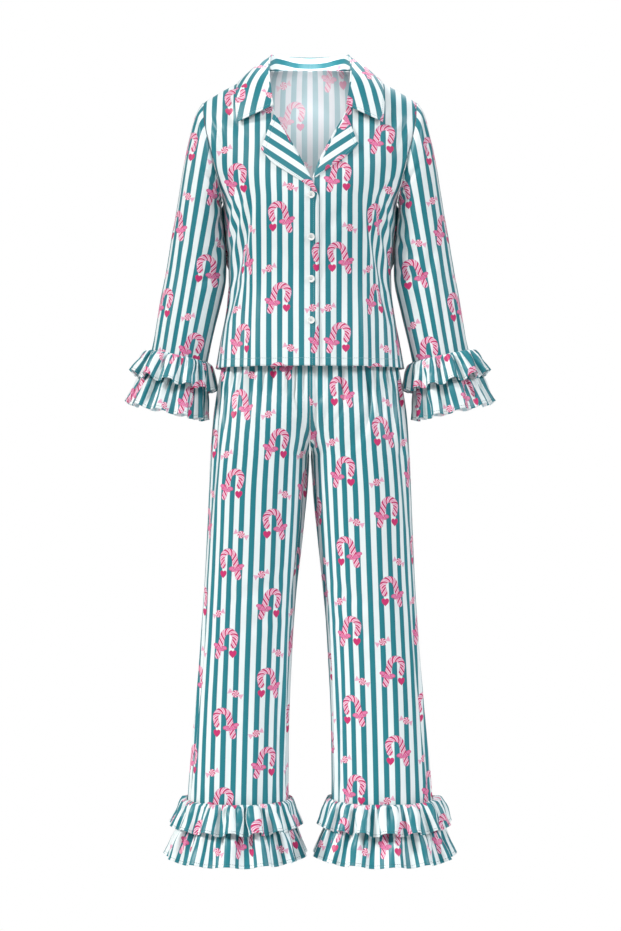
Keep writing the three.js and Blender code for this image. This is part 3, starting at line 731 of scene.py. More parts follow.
# How far a place on a jacket panel is from the panel's side seam.
def toSideSeam(panel, share, z):
    return share * (panel["widthLow"] if z < jacketRows["underarm"] else panel["widthHigh"])


# What the jacket's panels share beside their folds: unevenness, streaks, pulls at the seams and the
# stitch line of the hem.
def bodyRelief(panel, v, x, z, toSide):
    far = panel["noiseAt"]
    soft = softness(Vector((x, far["depth"], z)), 0.9) + streaks(x + far["across"], z, 0.9)
    pull = seamPull(toSide) + seamPull((1 - bodyRow(v) / 2) * jacketRows["toShoulder"])
    stitched = 0.35 * hollow(z - jacketRows["hem"] - jacketRows["hemStitch"], 1.3)
    return soft * smooth(toSide, 2, 20) + pull - stitched


def frontRelief(side, layer):
    def relief(u, v, point):
        x, z = abs(point.x), point.z
        depth = foldDepth(jacketFront["folds"], x + side * 2, z + side * 3)
        depth += bodyRelief(jacketFront, v, point.x, z, toSideSeam(jacketFront, 1 - u, z))
        if layer == "under":
            depth *= smooth(x, -4, 16)
        return clamp(depth, -9, 3)

    return relief


def makeFronts():
    for side, name, layer in sides:
        makeCloth(
            f"front_{name}", jacketFront, frontForm(layer), frontGrain(side, layer), frontRelief(side, layer),
            mirror=side < 0,
            stitches=({"row": 4}, {"column": 2 if side > 0 else -3, "end": 86}),
        )


# Jacket back

jacketBack = {
    "columns": 120,
    "rows": 140,
    "widthLow": 230,
    "widthHigh": 140,
    "noiseAt": {"across": 500, "depth": 400},
    "fan": {"share": 0.05, "between": (-246, -90)},
    # the back is pushed out behind each arm, where it meets the sleeve
    "billow": {"depth": 13.5, "fromSide": 34, "width": 15, "starts": (240, 257), "ends": (338, 388)},
    "folds": foldTable(
        ((-62, -330), (-20, -372), 7, -1.8, 4),
        ((55, -318), (12, -366), 7, -1.6, -4),
        ((-118, -300), (-58, -362), 7, -2.0, 5),
        ((122, -308), (60, -356), 7, -2.1, -5),
        ((-40, -392), (30, -402), 7, -1.5, -3),
        ((-148, -262), (-108, -318), 5, -1.6, 3),
        ((146, -258), (112, -322), 5, -1.5, -3),
        ((-40, -410), (-52, -610), 12, -2.2, -4),
        ((38, -414), (46, -610), 12, -2.0, 4),
        ((-96, -404), (-112, -610), 12, -2.3, 4),
        ((92, -400), (116, -610), 11, -2.4, -4),
        ((-150, -120), (-70, -200), 10, -1.0, -6),
        ((150, -128), (78, -210), 10, -1.1, 6),
    ),
}


def backForm(u, v):
    side = 1 - 2 * u
    rise, sideX, sideZ = bodySide(v)
    ringX = sideX * power(math.sin(side * math.pi / 2), 2 / torso["squareness"])
    x = lerp(ringX, sideX * side, rise)
    reach = abs(side) * shoulder["half"]
    neck = shoulder["backNeckRise"] * (1 - (reach / shoulder["neckHalf"]) ** 2)
    top = shoulderLine(reach) if reach > shoulder["neckHalf"] else neck
    z = lerp(jacketRows["underarm"], top, rise) if rise else sideZ
    return Vector((x, bodyDepth(x, z, "back") + seamGap / 2, z))


def backGrain(u, v, point, run, fall):
    fan = 1 - jacketBack["fan"]["share"] * smooth(point.z, *jacketBack["fan"]["between"])
    return (run(u) - run(0.5)) * fan + printPlan["stripePeriod"] / 2, point.z


def backRelief(u, v, point):
    x, z, billow = point.x, point.z, jacketBack["billow"]
    toSide = toSideSeam(jacketBack, 1 - abs(1 - 2 * u), z)
    depth = foldDepth(jacketBack["folds"], x, z) + bodyRelief(jacketBack, v, x, z, toSide)
    window = smooth(-z, *billow["starts"]) * (1 - smooth(-z, *billow["ends"]))
    push = window * hollow(toSide - billow["fromSide"], billow["width"])
    return clamp(depth, -7, 3) + billow["depth"] * push


def makeBack():
    makeCloth(
        "back", jacketBack, backForm, backGrain, backRelief,
        stitches=({"row": 4},),
    )


# Sleeves

sleeve = {
    "outer": (
        (197, -61), (211, -84), (224, -134), (235, -190), (245, -250), (256, -312), (266, -372),
        (277, -430), (286, -484), (292.5, -518), (299.5, -556),
    ),
    "inner": (
        (161, -246), (163.4, -249), (163.6, -258), (162, -275), (159.4, -300), (155.4, -340),
        (155.8, -394), (169, -452), (182, -506), (189.5, -541), (197.5, -579),
    ),
    "depth": (60, 66, 67, 65, 62, 59, 56, 54, 52, 51, 51),
    "roundness": 0.92,
    "grainLine": ((235, -190), (299.5, -556)),
    "grainHalf": (50, 58),
    "grainFlat": 0.18,
    "stripesFrom": 9.95,
    "motifShift": 40,
    "cuffGathers": {"count": 21, "depth": 1.3, "between": (8.0, 9.2)},
    "sectionLength": 45,
    "noiseRound": 40,
    "columns": 96,
    "rows": 150,
    # places are an angle round the sleeve, nought at its outer side and 90 in front, and a section
    "folds": foldTable(
        ((168, 0.6), (104, 3.6), 11, -3.0, 5),
        ((150, 0.5), (84, 2.2), 7, -2.6, 6),
        ((176, 2.4), (120, 4.6), 10, -2.6, 5),
        ((172, 4.2), (104, 5.5), 7, -3.8, 3),
        ((168, 5.6), (92, 6.3), 7, -3.2, -3),
        ((48, 4.4), (112, 7.2), 8, -2.2, 4),
        ((28, 0.8), (62, 3.2), 9, -2.2, 4),
        ((66, 6.0), (78, 9.4), 8, -2.4, 4),
        ((128, 6.4), (116, 9.4), 8, -2.8, -4),
        ((200, 0.6), (264, 3.2), 9, -3.6, -5),
        ((190, 4.2), (256, 5.6), 7, -3.6, -3),
        ((196, 5.8), (276, 6.6), 7, -3.0, 3),
        ((290, 6.2), (282, 9.4), 8, -2.4, 4),
        ((236, 6.6), (240, 9.4), 8, -2.6, -4),
    ),
}


def armholePoint(angle):
    z = lerp(jacketRows["underarm"], shoulder["drop"], (1 + math.cos(angle)) / 2)
    x = readTable(armhole, "x", z)
    forward = math.sin(angle)
    depth = bodyDepth(x, z, "front" if forward >= 0 else "back") + seamGap / 2
    return Vector((x + seamGap / 2, 0 if abs(forward) < 1e-6 else -math.copysign(depth, forward), z))


def sleeveSection(k, angle):
    if k == 0:
        return armholePoint(angle)
    (outerX, outerZ), (innerX, innerZ) = sleeve["outer"][k], sleeve["inner"][k]
    swing = math.cos(angle)
    return Vector((
        (outerX + innerX) / 2 + (outerX - innerX) / 2 * swing,
        -sleeve["depth"][k] * power(math.sin(angle), sleeve["roundness"]),
        (outerZ + innerZ) / 2 + (outerZ - innerZ) / 2 * swing,
    ))


# Columns run from the underarm seam round the back, over the outer side and down the front.
def sleeveForm(u, v):
    angle = math.pi * (3 - 2 * u)
    place = (1 - v) * (len(sleeve["depth"]) - 1)
    low = max(int(place) - 1, 0)
    near = [sleeveSection(k, angle) for k in range(low, min(low + 4, len(sleeve["depth"])))]
    return through(near, place - low)


# The stripes run straight along the sleeve, from its cuff to its cap.
def sleeveGrain(side):
    start, end = (Vector(p) for p in sleeve["grainLine"])
    along = (end - start).normalized()
    half, depth = sleeve["grainHalf"]

    def grain(u, v, point, run, fall):
        place = Vector((abs(point.x), point.z)) - start
        out = place.x * -along.y + place.y * along.x
        angle = math.atan2(abs(point.y) / depth, 1 + out / half)
        arc = math.hypot(half, depth) / math.sqrt(2) * angle
        reach = math.copysign(lerp(arc, half * (1 - math.cos(angle)), sleeve["grainFlat"]), -point.y)
        return side * (reach + sleeve["stripesFrom"]), place.dot(-along) + sleeve["motifShift"] * side

    return grain


def sleeveRelief(side):
    def relief(u, v, point):
        angle = (540 - 360 * u) % 360
        turned = math.radians(angle)
        place = (1 - v) * (len(sleeve["depth"]) - 1)
        length, gathers = sleeve["sectionLength"], sleeve["cuffGathers"]
        depth = foldDepth(sleeve["folds"], angle + 3 * side, place, length)
        outward, forward = (sleeve["noiseRound"] * part(turned) for part in (math.cos, math.sin))
        soft = softness(point, 0.9, 60) + streaks(outward + forward, length * place + forward, 0.9)
        depth += soft * smooth(place, 0.1, 0.6)
        gather = smooth(place, *gathers["between"]) * math.sin(turned * gathers["count"] + 2 * side)
        depth += gathers["depth"] * gather * (0.6 + 0.4 * math.sin(turned * 3))
        depth += seamPull(place * length, 1.0, 3.5)
        inward = smooth(angle, 130, 170) * (1 - smooth(angle, 190, 230))
        return clamp(depth, -7, lerp(2.2, 0.1, inward))

    return relief


def makeSleeves():
    for side, name, _ in sides:
        makeCloth(
            f"sleeve_{name}", sleeve, sleeveForm, sleeveGrain(side), sleeveRelief(side),
            mirror=side < 0, closed=True,
        )


# Lapels and collar

lapel = {
    "v": (0, 0.2, 0.5, 0.8, 1),
    "overX": (-13, 6, 36, 68, 88),
    "overZ": (-246, -230, -210, -188, -163),
    "underX": (10.5, 22, 44, 70, 87),
    "underZ": (-217, -208, -192, -172, -153),
    "foldStart": {"over": (-4, -221), "under": (7, -213)},
    "foldTop": (65, -95),
    "liftAtFold": 2.1,
    "liftAtTip": 5,
    "stripeAngle": math.radians(55),
    "stripesFrom": 3,
    "width": 60,
    "columns": 34,
    "rows": 52,
}


def lapelForm(layer):
    def form(u, v):
        startX, startZ = lapel["foldStart"][layer]
        foldX, foldZ = lerp(startX, lapel["foldTop"][0], v), lerp(startZ, lapel["foldTop"][1], v)
        x = lerp(foldX, readTable(lapel, f"{layer}X", v, "v"), u)
        z = lerp(foldZ, readTable(lapel, f"{layer}Z", v, "v"), u)
        lift = lerp(lapel["liftAtFold"], lapel["liftAtTip"], u * v)
        base = overlapLift(x) if layer == "over" else 0
        return Vector((x, -bodyDepth(x, z, "front") - base - lift - seamGap / 2, z))

    return form


def lapelGrain(side):
    def grain(u, v, point, run, fall):
        x, z = side * point.x, point.z
        sine, cosine = math.sin(lapel["stripeAngle"]), math.cos(lapel["stripeAngle"])
        return side * (x * cosine - z * sine) + lapel["stripesFrom"], x * sine + z * cosine

    return grain


def lapelRelief(u, v, point):
    fullness = 1.3 * math.sin(math.pi * u) * math.sin(math.pi * clamp(v * 1.1))
    edge = -0.5 * hollow((1 - u) * lapel["width"], 4) - 0.4 * hollow(u * lapel["width"], 3)
    return fullness + edge + softness(point, 0.35, 40)


def makeLapels():
    for side, name, layer in sides:
        makeCloth(
            f"lapel_{name}", lapel, lapelForm(layer), lapelGrain(side), lapelRelief,
            mirror=side < 0, wall=1.3, reverse=0,
            stitches=({"column": -4 if side > 0 else 3}, {"row": -4}),
        )


# Half of the collar, from the middle of the back to its front end
collar = {
    "seam": (
        (0, 59.6, 10.6), (27, 55.2, 9.8), (50, 41, 6.6), (67.5, 20, 3.2), (76, 0, 1.4), (79.5, -27, -6),
        (79, -56, -32), (75, -76, -62), (69.5, -86.5, -84),
    ),
    "fold": (
        (0, 61.5, 33), (26.5, 57, 32.6), (48.5, 43, 31), (64.5, 21, 28), (71.5, 0, 24.5), (73.5, -24, 8),
        (73, -58, -24), (69.5, -79.5, -58), (65.5, -90.5, -83),
    ),
    "fall": (
        (0, 86, 10), (34, 81, 9.5), (62, 64, 8), (84, 36, 5), (97, 3, 8), (103, -27, -6), (104, -61, -36),
        (101, -81, -72), (97, -91, -97),
    ),
    "edge": (
        (0, 101, -24), (41, 97, -24), (76, 86, -25), (104, 59, -25), (124, 17, -17), (132.5, -27, -28),
        (135.5, -65, -60), (134.5, -78, -90), (131.5, -84, -111),
    ),
    "turn": 1.54,
    "stripesFrom": 9.95,
    "leanFrom": 95,
    "stripeLean": 0.3,
    "motifShift": 40,
    "fallStarts": (0.42, 0.6),
    "width": 60,
    # the fold takes few of the rows across the collar, and the fall takes most
    "share": (0, 0.27, 0.33, 0.39, 0.68, 1),
    "across": (0, 1, 2, 3, 4, 5),
    "columns": 170,
    "rows": 40,
}


def collarForm(u, v):
    side = 1 - 2 * u
    place = abs(side) * (len(collar["seam"]) - 1)
    seam, fold, fall, edge = (
        through([Vector(p) for p in collar[line]], place) for line in ("seam", "fold", "fall", "edge")
    )
    outward = Vector((edge.x - seam.x, edge.y - seam.y, 0)).normalized()
    turn = collar["turn"]
    crown = fold + outward * turn + Vector((0, 0, turn * 0.9))
    across = onLine(collar, "across", 1 - v, "share")
    point = through([seam, fold, crown, fold + outward * 2 * turn, fall, edge], across)
    if side < 0:
        point.x = -point.x
    return point


# The stripes run along the collar's outer edge, and lean out to it towards the tips.
def collarGrain(u, v, point, run, fall):
    forward = abs(run(u) - run(0.5)) - collar["leanFrom"]
    lean = collar["stripeLean"] * forward * smooth(forward, -20, 40)
    return fall(u) - fall(u, 0) - lean + collar["stripesFrom"], run(u) - run(0.5) + collar["motifShift"]


def collarRelief(u, v, point):
    fall = smooth(1 - v, *collar["fallStarts"])
    fullness = 0.8 * math.sin(math.pi * clamp((1 - v - 0.4) / 0.6))
    return fall * (softness(point, 0.5, 45) + fullness) - 0.5 * hollow(v * collar["width"], 3.5)


def makeCollar():
    makeCloth(
        "collar", collar, collarForm, collarGrain, collarRelief,
        wall=1.3, reverse=0,
        stitches=({"row": 2}, {"column": 3, "end": 22}, {"column": -4, "end": 22}),
    )


# Trousers

leg = {
    "z": (-475, -551, -600, -648, -714, -760, -833, -980, -1166, -1300, -1386),
    "half": (150.8, 163, 172, 179, 184, 186, 189, 196, 210, 222, 229),
    "front": (93, 101, 105, 107, 106, 104, 99, 90, 83, 82, 82),
    "back": (80, 98, 108, 112, 112, 109, 103, 92, 85, 83, 83),
    "gap": (0, 0, 0, 0, 0.6, 4, 11, 26, 38, 40, 39),
    "squareness": 2.2,
    "bandSeam": -475,
    "crotch": -714,
    "riseStart": -596,
    "gathers": 6,
    "gather": 5,
    "gatherEnd": -640,
    "stripeLean": 0.5,
    "motifShift": 25,
    "fuller": {"ease": 0.09, "from": -800, "to": -560},
    "pleats": {"count": 14, "depth": 11.0, "top": -545, "bottom": -668, "uneven": 90},
    "hemGathers": {"count": 11, "depth": 1.4, "between": (1300, 1344)},
    "panelWidth": 210,
    "foldSquash": 0.45,
    "columns": 96,
    "rows": 210,
    # rows lie closer together round the crotch, where the inseam turns under
    "share": (0, 0.2, 0.3, 0.36, 1),
    "rowZ": (-475, -640, -704, -728, -1386),
    # places are a share of the panel's width from its inseam, in hundredths, and a height
    "frontFolds": foldTable(
        ((3, -706), (16, -600), 3.6, -2.0, 1),
        ((5, -724), (11, -830), 3.2, -2.6, -1),
        ((9, -764), (13, -1010), 3.2, -3.6, 2),
        ((11, -1000), (7, -1372), 2.8, -4.0, 1),
        ((21, -1110), (17, -1366), 3.2, -2.6, 1),
        ((85, -960), (91, -1372), 3.0, -3.6, 1),
        ((78, -556), (85, -840), 4.0, -3.0, 2),
        ((44, -540), (40, -706), 3.8, -2.6, 1),
        ((62, -540), (66, -680), 3.6, -2.4),
        ((24, -926), (62, -986), 5.0, -2.0, 3),
        ((20, -1000), (58, -1052), 5.0, -1.8, -3),
        ((50, -1110), (54, -1372), 4.8, -2.4, 2),
    ),
    "leftFolds": foldTable(((5.5, -556), (3.6, -708), 2.2, -6.0, 0.3)),
    "backFolds": foldTable(
        ((3, -704), (40, -646), 4.4, -1.7, 3),
        ((3, -722), (36, -730), 4.4, -1.6, 4),
        ((6, -744), (46, -812), 4.4, -1.5, -3),
        ((14, -900), (60, -944), 4.6, -1.6, 3),
        ((20, -960), (66, -986), 4.6, -1.7, -3),
        ((14, -1020), (56, -1064), 4.6, -1.3, 3),
        ((10, -1060), (8, -1370), 3.0, -2.4, 1),
        ((88, -900), (92, -1370), 3.2, -2.0, -1),
        ((50, -1090), (46, -1370), 5.0, -1.5, 2),
        ((70, -560), (76, -700), 4.4, -1.6, 1),
        ((38, -556), (34, -650), 4.4, -1.5),
    ),
}


# Where a leg's section starts, how far it reaches from its grain line, and its outer side.
def legSweep(z):
    half, gap = readTable(leg, "half", z), max(readTable(leg, "gap", z), seamGap / 2)
    rise = clamp((leg["riseStart"] - z) / (leg["riseStart"] - leg["crotch"]))
    start = -math.asin(clamp(1 - (1 - rise**1.4) ** 1.5))
    return start, (half - gap) / (1 - power(math.sin(start), 2 / leg["squareness"])), half


def legForm(face):
    def form(u, v):
        z = legHeight(v)
        across = u if face == "front" else 1 - u
        start, reach, half = legSweep(z)
        depth = readTable(leg, face, z)
        exponent = 2 / leg["squareness"]
        angle = lerp(start, math.pi / 2, across)
        x = half - reach + reach * power(math.sin(angle), exponent)
        y = depth * power(max(math.cos(angle), 0), exponent) + seamGap / 2
        nearBand = smooth(z, leg["gatherEnd"], leg["bandSeam"])
        gather = -leg["gather"] * nearBand * math.sin(math.pi * leg["gathers"] * across) ** 2
        point = Vector((x, -y, z)) + Vector((math.sin(angle), -math.cos(angle), 0)) * gather
        if face == "back":
            point.y = -point.y
        return point

    return form


def legHeight(v):
    return onLine(leg, "rowZ", 1 - v, "share")


# The grain is straight down from the waist beside the middle seam, and follows each leg below. The
# gathers under the waist draw the stripes together.
def legGrain(side, face):
    def grain(u, v, point, run, fall):
        z = legHeight(v)
        start, sweep, half = legSweep(z)
        share = -start / (math.pi / 2 - start)
        line = share if face == "front" else 1 - share
        towards = side if face == "front" else -side
        middle, crotchMiddle = half - sweep, readTable(leg, "half", leg["crotch"]) / 2
        middle = min(middle, lerp(crotchMiddle, middle, leg["stripeLean"]))
        shift = printPlan["stripePeriod"] * (2 + side)
        fuller = 1 + leg["fuller"]["ease"] * smooth(z, leg["fuller"]["from"], leg["fuller"]["to"])
        reach = fuller * (run(u) - run(line) + towards * middle)
        return reach + shift, point.z + leg["motifShift"] * side

    return grain


def legRelief(side, face):
    def relief(u, v, point):
        across = u if face == "front" else 1 - u
        z, squash = point.z, leg["foldSquash"]
        toEdge = min(across, 1 - across) * leg["panelWidth"]
        depth = foldDepth(leg[f"{face}Folds"], across * 100 + 1.2 * side, z + 8 * side, squash)
        soft = softness(Vector((point.x, point.y * 2, z * 0.8)), 1.1, 75)
        soft += streaks(across * 220 + 900 * side, z, 1.1)
        depth += soft * smooth(toEdge, 0, 18)
        pleats, gathers = leg["pleats"], leg["hemGathers"]
        phase = across * math.pi * pleats["count"] + 2.2 * math.sin(across * 9 + side)
        strength = 0.7 + 0.3 * math.sin(across * 31 + side)
        reach = pleats["uneven"] * noise.noise(Vector((across * 9, 4 * side, 1.3)))
        groove = (1 - abs(math.sin(phase))) ** 1.9
        fall = smooth(z, pleats["bottom"] - reach, pleats["top"])
        depth += pleats["depth"] * fall * (0.3 - groove) * strength
        if face == "front" and side > 0:
            depth += foldDepth(leg["leftFolds"], across * 100, z, squash)
        gather = smooth(-z, *gathers["between"]) * math.sin(across * 2 * math.pi * gathers["count"] + side)
        depth += gathers["depth"] * gather * smooth(toEdge, 0, 20)
        depth += seamPull(toEdge, 1.0, 3.2)
        return clamp(depth, -10, 3 * smooth(toEdge, 0, 12))

    return relief


def makeLegs():
    for side, name, _ in sides:
        for face in ("front", "back"):
            makeCloth(
                f"leg_{face}_{name}", leg, legForm(face), legGrain(side, face), legRelief(side, face),
                mirror=side < 0,
            )


waistband = {"top": -440, "ribs": 96, "columns": 384, "rows": 14, "casingStitches": (6, 29)}


def waistForm(u, v):
    quarter, across = divmod(clamp(u, 0, 0.999999) * 4, 1)
    face = "front" if quarter in (0, 3) else "back"
    if quarter in (1, 3):
        across = 1 - across
    point = legForm(face)(across if face == "front" else 1 - across, 1)
    point.z = lerp(leg["bandSeam"] + seamGap, waistband["top"], v)
    if quarter >= 2:
        point.x = -point.x
    return point


def waistRelief(u, v, point):
    height = point.z - leg["bandSeam"]
    rib = 0.5 * math.sin(u * 2 * math.pi * waistband["ribs"]) * (0.7 + 0.3 * math.sin(u * 50))
    pull = sum(-0.7 * hollow(height - line, 1.6) for line in waistband["casingStitches"])
    return rib * math.sin(math.pi * v) - 0.6 + pull


def makeWaistband():
    makeCloth(
        "waistband", waistband, waistForm, lambda u, v, point, run, fall: (run(u), point.z), waistRelief,
        closed=True, wall=0.8,
    )


# Ruffles

ruffles = {
    "hem_ruffle_upper": {
        "top": -1344, "clear": 2.0, "drop": 50, "out": 28, "innerEase": 0.3, "waves": 16, "wave": 6.5,
        "turn": 0.4, "fuller": 1.5, "lift": 5.5, "gather": 9.5,
    },
    "hem_ruffle_lower": {
        "top": -1386.4, "hem": -1454, "clear": 0, "drop": 66, "out": 33, "innerEase": 0.2, "waves": 13,
        "wave": 6.5, "turn": 2.1, "fuller": 1.5, "lift": 4.5, "gather": 9.5,
    },
    "cuff_ruffle_upper": {
        "section": 9, "below": 0, "clear": 2.0, "drop": 50, "out": 24, "innerEase": 0, "waves": 13,
        "wave": 5, "turn": 1.2, "fuller": 1.5, "lift": 5.5, "gather": 8.5,
    },
    "cuff_ruffle_lower": {
        "section": 10, "below": seamGap, "clear": 0, "drop": 67, "out": 24, "innerEase": 0.2, "waves": 11,
        "wave": 5, "turn": 3.3, "fuller": 1.4, "lift": 3.5, "gather": 9.0,
    },
}
ruffleMesh = {"columnsPerWave": 24, "rows": 26}
motifShift = {"across": 5, "along": 14}
# Gathers for each wave: the main ones, the fine creases between them and the second ones lower down
gathersPerWave = {"main": 1.8, "crease": 3.4, "second": 1.45}
rolledHem = 5
rimSteps = 400
gatherEase = 1.04


def ruffleWave(angle, tier):
    turn = tier["turn"]
    drift = 0.55 * math.sin(2 * angle + turn) + 0.4 * math.sin(3 * angle + 2.3 * turn)
    strength = 0.8 + 0.2 * math.sin(2 * angle + 5 * turn)
    phase = tier["waves"] * angle + drift
    return strength, phase


def hemRing(tier):
    z = tier["top"]
    half, gap = readTable(leg, "half", z), readTable(leg, "gap", z)
    exponent = 2 / leg["squareness"]

    def ring(angle, below):
        depth = readTable(leg, "front" if math.cos(angle) >= 0 else "back", z)
        point = Vector((
            (half + gap) / 2 + (half - gap) / 2 * power(math.sin(angle), exponent),
            -(depth + seamGap / 2) * power(math.cos(angle), exponent),
            z - below,
        ))
        return point, Vector((math.sin(angle), -math.cos(angle), 0)), Vector((0, 0, 1))

    return ring


def cuffRing(tier):
    k = tier["section"]
    outer, inner = (Vector((sleeve[end][k][0], 0, sleeve[end][k][1])) for end in ("outer", "inner"))
    side = (outer - inner).normalized()
    along = Vector((side.z, 0, -side.x))
    half = (outer - inner).length / 2

    def ring(angle, below):
        point = (outer + inner) / 2 + along * (below + tier["below"]) + side * half * math.sin(angle)
        point.y -= sleeve["depth"][k] * power(math.cos(angle), sleeve["roundness"])
        out = side * math.sin(angle)
        out.y -= math.cos(angle)
        return point, out, -along

    return ring


# A ruffle's own seam is at the back.
def ruffleAngle(u):
    return math.pi * (2 * u + 1)


def ruffleForm(tier, ring):
    def form(u, v):
        angle = ruffleAngle(u)
        down = 1 - v
        point, out, up = ring(angle, down * tier["drop"])
        strength, phase = ruffleWave(angle, tier)
        wave = strength * math.sin(phase)
        flare = 1 - tier["innerEase"] * max(-math.sin(angle), 0)
        # the waves are shallow under the seam, and stand clear of what is inside it
        shallow = 0.16
        depth = tier["wave"] * (lerp(shallow, tier["fuller"], down**0.65) * wave + lerp(shallow, 0, down))
        point += out * (tier["clear"] + tier["out"] * flare * down**0.85 + depth)
        point += up * (tier["lift"] * down * wave)
        # the folds roll over towards each other, so they are rounder than they are deep
        sideways = out.cross(up)
        return point + sideways * (0.5 * tier["wave"] * strength * math.sin(2 * phase) * down**0.8)

    return form


def ruffleGrain(tier, side, cutWidth):
    def grain(u, v, point, run, fall):
        share = u if side > 0 else 1 - u
        along = v * tier["drop"] + motifShift["along"] * tier["turn"]
        return share * cutWidth + motifShift["across"] * side, along

    return grain


# Sharp grooves, so many round a ruffle.
def grooveAt(angle, count, drift):
    return 1 - abs(math.sin(angle * round(count) / 2 + drift))


# Uneven gathers swell under the seam with sharp grooves between them, and a narrow rolled hem
# thickens the free edge.
def ruffleRelief(tier, side):
    def relief(u, v, point):
        down = 1 - v
        angle = ruffleAngle(u)
        spot = Vector((math.cos(angle), math.sin(angle), 0))
        uneven = noise.noise(spot * 4.1 + Vector((0, 0, tier["turn"] + side)))
        drift = 1.7 * math.sin(3 * angle + tier["turn"]) + 1.2 * math.sin(7 * angle + side)
        groove = grooveAt(angle, tier["waves"] * gathersPerWave["main"], drift)
        reach = clamp(0.75 + 0.8 * uneven, 0.3, 1.3)
        window = smooth(down, 0, 0.14) * (1 - 0.85 * smooth(down, reach * 0.35, reach))
        swell = tier["gather"] * clamp(0.8 + 0.7 * uneven, 0.3, 1.2) * window * (1 - 1.2 * groove**1.3)
        crease = grooveAt(angle, tier["waves"] * gathersPerWave["crease"], 2 * drift)
        swell -= 0.4 * tier["gather"] * crease**1.6 * smooth(down, 0, 0.08) * (1 - smooth(down, 0.2, 0.65))
        seconds = round(tier["waves"] * gathersPerWave["second"])
        second = math.sin(angle * seconds + 2 * drift) * hollow(down - 0.75, 0.3)
        hem = -0.4 * hollow((1 - down) * tier["drop"] - rolledHem, 1.0)
        depth = swell + 1.2 * second * (0.8 - uneven) + hem
        if tier["clear"]:
            depth = max(depth, -0.8)
        return depth * (1 - 0.5 * smooth(-math.sin(angle), 0.6, 1)) - 0.6 * hollow(down * tier["drop"], 2)

    return relief


def makeRuffles():
    for kind, tier in ruffles.items():
        ring = hemRing(tier) if kind.startswith("hem") else cuffRing(tier)
        form = ruffleForm(tier, ring)
        rim = [form(k / rimSteps, 0) for k in range(rimSteps + 1)]
        cutWidth = sum((b - a).length for a, b in zip(rim, rim[1:])) * gatherEase
        mesh = {"columns": ruffleMesh["columnsPerWave"] * tier["waves"], "rows": ruffleMesh["rows"]}
        for side, name, _ in sides:
            makeCloth(
                f"{kind}_{name}", mesh, form, ruffleGrain(tier, side, cutWidth), ruffleRelief(tier, side),
                mirror=side < 0, closed=True, wall=0.7,
                stitches=({"row": 2, "thread": "teal"},), cutWidth=cutWidth,
            )


# Stitching

stitch = {"length": 2.6, "pitch": 3.8, "radius": 0.34, "sunk": 0.05, "sides": 5}
upright = Vector((0, 0, 1))


def addRod(bm, radius, length, sides, place):
    bmesh.ops.create_cone(
        bm, cap_ends=True, segments=sides, radius1=radius, radius2=radius, depth=length, matrix=place
    )


# Turns what stands upright into a direction.
def turnTo(direction):
    return upright.rotation_difference(direction).to_matrix().to_4x4()


# Sews every run with one stitch after another, as a machine does.
def makeStitches(name, thread):
    sewing = bmesh.new()
    radius, length, pitch = stitch["radius"] * mm, stitch["length"] * mm, stitch["pitch"] * mm
    for run in stitchRuns[name]:
        bm = bmesh.new()
        travelled, wanted = 0.0, pitch / 2
        for (start, startOut), (end, endOut) in zip(run, run[1:]):
            step = (end - start).length
            while step and travelled + step > wanted:
                share = (wanted - travelled) / step
                along, out = (end - start).normalized(), startOut.lerp(endOut, share).normalized()
                place = start.lerp(end, share) - out * stitch["sunk"] * mm
                addRod(bm, radius, length, stitch["sides"], Matrix.Translation(place) @ turnTo(along))
                wanted += pitch
            travelled += step
        seam = bpy.data.meshes.new("seam")
        bm.to_mesh(seam)
        bm.free()
        sewing.from_mesh(seam)
        bpy.data.meshes.remove(seam)
    for face in sewing.faces:
        face.smooth = len(face.verts) == 4
    sewn = objectFrom(sewing, f"thread_{name}", [thread])
    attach(sewn, "root")
    print(f"{name} stitching: {len(sewn.data.polygons)} faces")


# Buttons

button = {
    "x": 2, "first": -248, "spacing": 74.4, "count": 4, "stand": 0.4, "segments": 48,
    "profile": (
        (0, 0), (5.4, 0), (6.4, 0.9), (6.6, 1.7), (6.2, 2.4), (5.4, 2.6), (4.7, 2.3), (4.1, 1.7), (0, 1.6),
    ),
    "holes": {"radius": 0.8, "reach": 1.7, "length": 8, "sides": 16},
    "bars": {"radius": 0.34, "height": 1.95, "step": 0.25, "sides": 10},
    "slopeSpan": 5,
    "sharpFrom": math.radians(40),
}


# The direction from a button's middle to one of its four holes.
def diagonal(turn):
    angle = math.radians(45 + 90 * turn)
    return Vector((math.cos(angle), math.sin(angle), 0))


# A disc with four holes cut through it.
def buttonDisc():
    bm, cutter, holes = bmesh.new(), bmesh.new(), button["holes"]
    points = [bm.verts.new((r, 0, h)) for r, h in button["profile"]]
    edges = [bm.edges.new(pair) for pair in zip(points, points[1:])]
    bmesh.ops.spin(
        bm, geom=points + edges, cent=(0, 0, 0), axis=upright, dvec=(0, 0, 0), angle=2 * math.pi,
        steps=button["segments"], use_merge=True,
    )
    bmesh.ops.remove_doubles(bm, verts=bm.verts, dist=0.001)
    bmesh.ops.recalc_face_normals(bm, faces=bm.faces)
    for turn in range(4):
        centre = Matrix.Translation(diagonal(turn) * holes["reach"])
        addRod(cutter, holes["radius"], holes["length"], holes["sides"], centre)
    disc, drill = objectFrom(bm, "blank", []), objectFrom(cutter, "drill", [])
    drilling = disc.modifiers.new("holes", "BOOLEAN")
    drilling.object = drill
    drilling.solver = "EXACT"
    graph = bpy.context.evaluated_depsgraph_get()
    pierced = bmesh.new()
    pierced.from_mesh(bpy.data.meshes.new_from_object(disc.evaluated_get(graph)))
    bpy.data.objects.remove(disc)
    bpy.data.objects.remove(drill)
    for face in pierced.faces:
        face.smooth = True
    return pierced


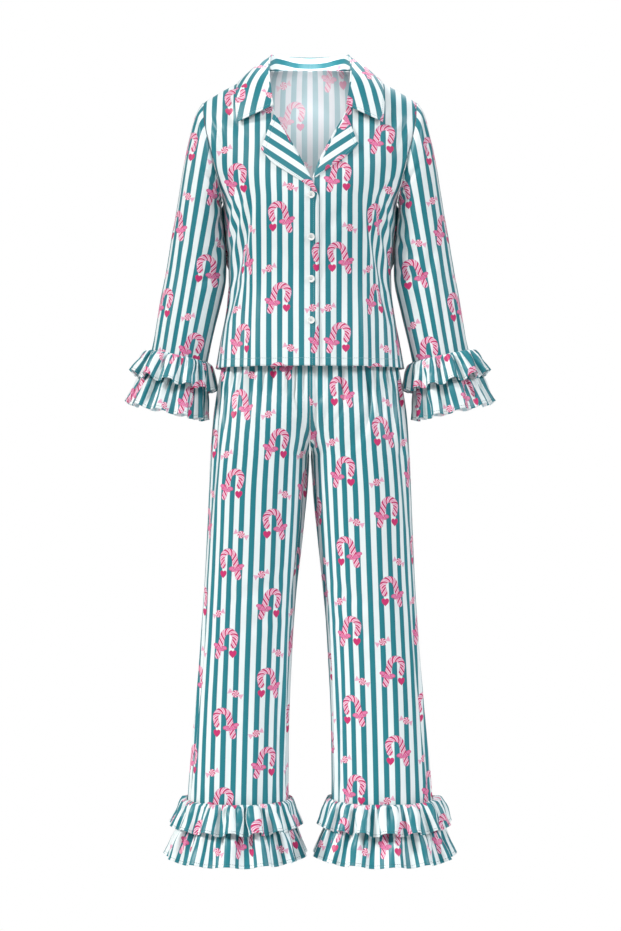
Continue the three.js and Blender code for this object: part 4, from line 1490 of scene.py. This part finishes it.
# Two bars of thread, crossed between the holes.
def threadCross():
    bars, sewn = button["bars"], bmesh.new()
    for turn in range(2):
        raised = Matrix.Translation((0, 0, bars["height"] + bars["step"] * turn))
        lying = raised @ turnTo(diagonal(turn))
        addRod(sewn, bars["radius"], 2 * button["holes"]["reach"], bars["sides"], lying)
    return sewn


def makeButtons(resin, thread):
    x, span = button["x"], button["slopeSpan"]
    for k in range(button["count"]):
        z = button["first"] - k * button["spacing"]
        slope = (bodyDepth(x, z + span, "front") - bodyDepth(x, z - span, "front")) / (2 * span)
        y = -bodyDepth(x, z, "front") - overlap["lift"] - seamGap / 2 - button["stand"]
        turned = turnTo(Vector((0, -1, -slope)).normalized())
        place = Matrix.Scale(mm, 4) @ Matrix.Translation((x, y, z)) @ turned
        pieces = []
        for bm, name, material in (
            (buttonDisc(), f"resin_button_{k + 1}", resin), (threadCross(), f"thread_cross_{k + 1}", thread)
        ):
            bmesh.ops.transform(bm, matrix=place, verts=bm.verts)
            pieces.append(objectFrom(bm, name, [material]))
            pieces[-1].data.set_sharp_from_angle(angle=button["sharpFrom"])
            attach(pieces[-1], "root")
        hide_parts(f"button_{k + 1}")
    print("buttons made")


# Stage

def makeStage(acrylic):
    bm = bmesh.new()
    level = ruffles["hem_ruffle_lower"]["hem"] - view["floorBelowHem"]
    bmesh.ops.create_circle(bm, cap_ends=True, segments=96, radius=view["floorRadius"] * mm)
    bmesh.ops.translate(bm, verts=bm.verts, vec=(0, 0, level * mm))
    floor = objectFrom(bm, "studio_floor", [acrylic])
    print("stage made")


makeCamera()
makeLights()
print("camera and lights made")
clothMaterials += [
    printedSatin("printed_satin", printInks, 0.4),
    printedSatin("printed_satin_reverse", reverseInks, 0.6),
]
print("print made")
makeFronts()
makeBack()
makeSleeves()
makeLapels()
makeCollar()
makeWaistband()
makeLegs()
makeRuffles()
makeStitches("pale", sewingThread("pale_thread", "#8DB9BF"))
makeStitches("teal", sewingThread("teal_thread", "#1C5F6B"))
makeButtons(buttonResin(), sewingThread("white_thread", "#E8EEEC"))
makeStage(opalAcrylic())
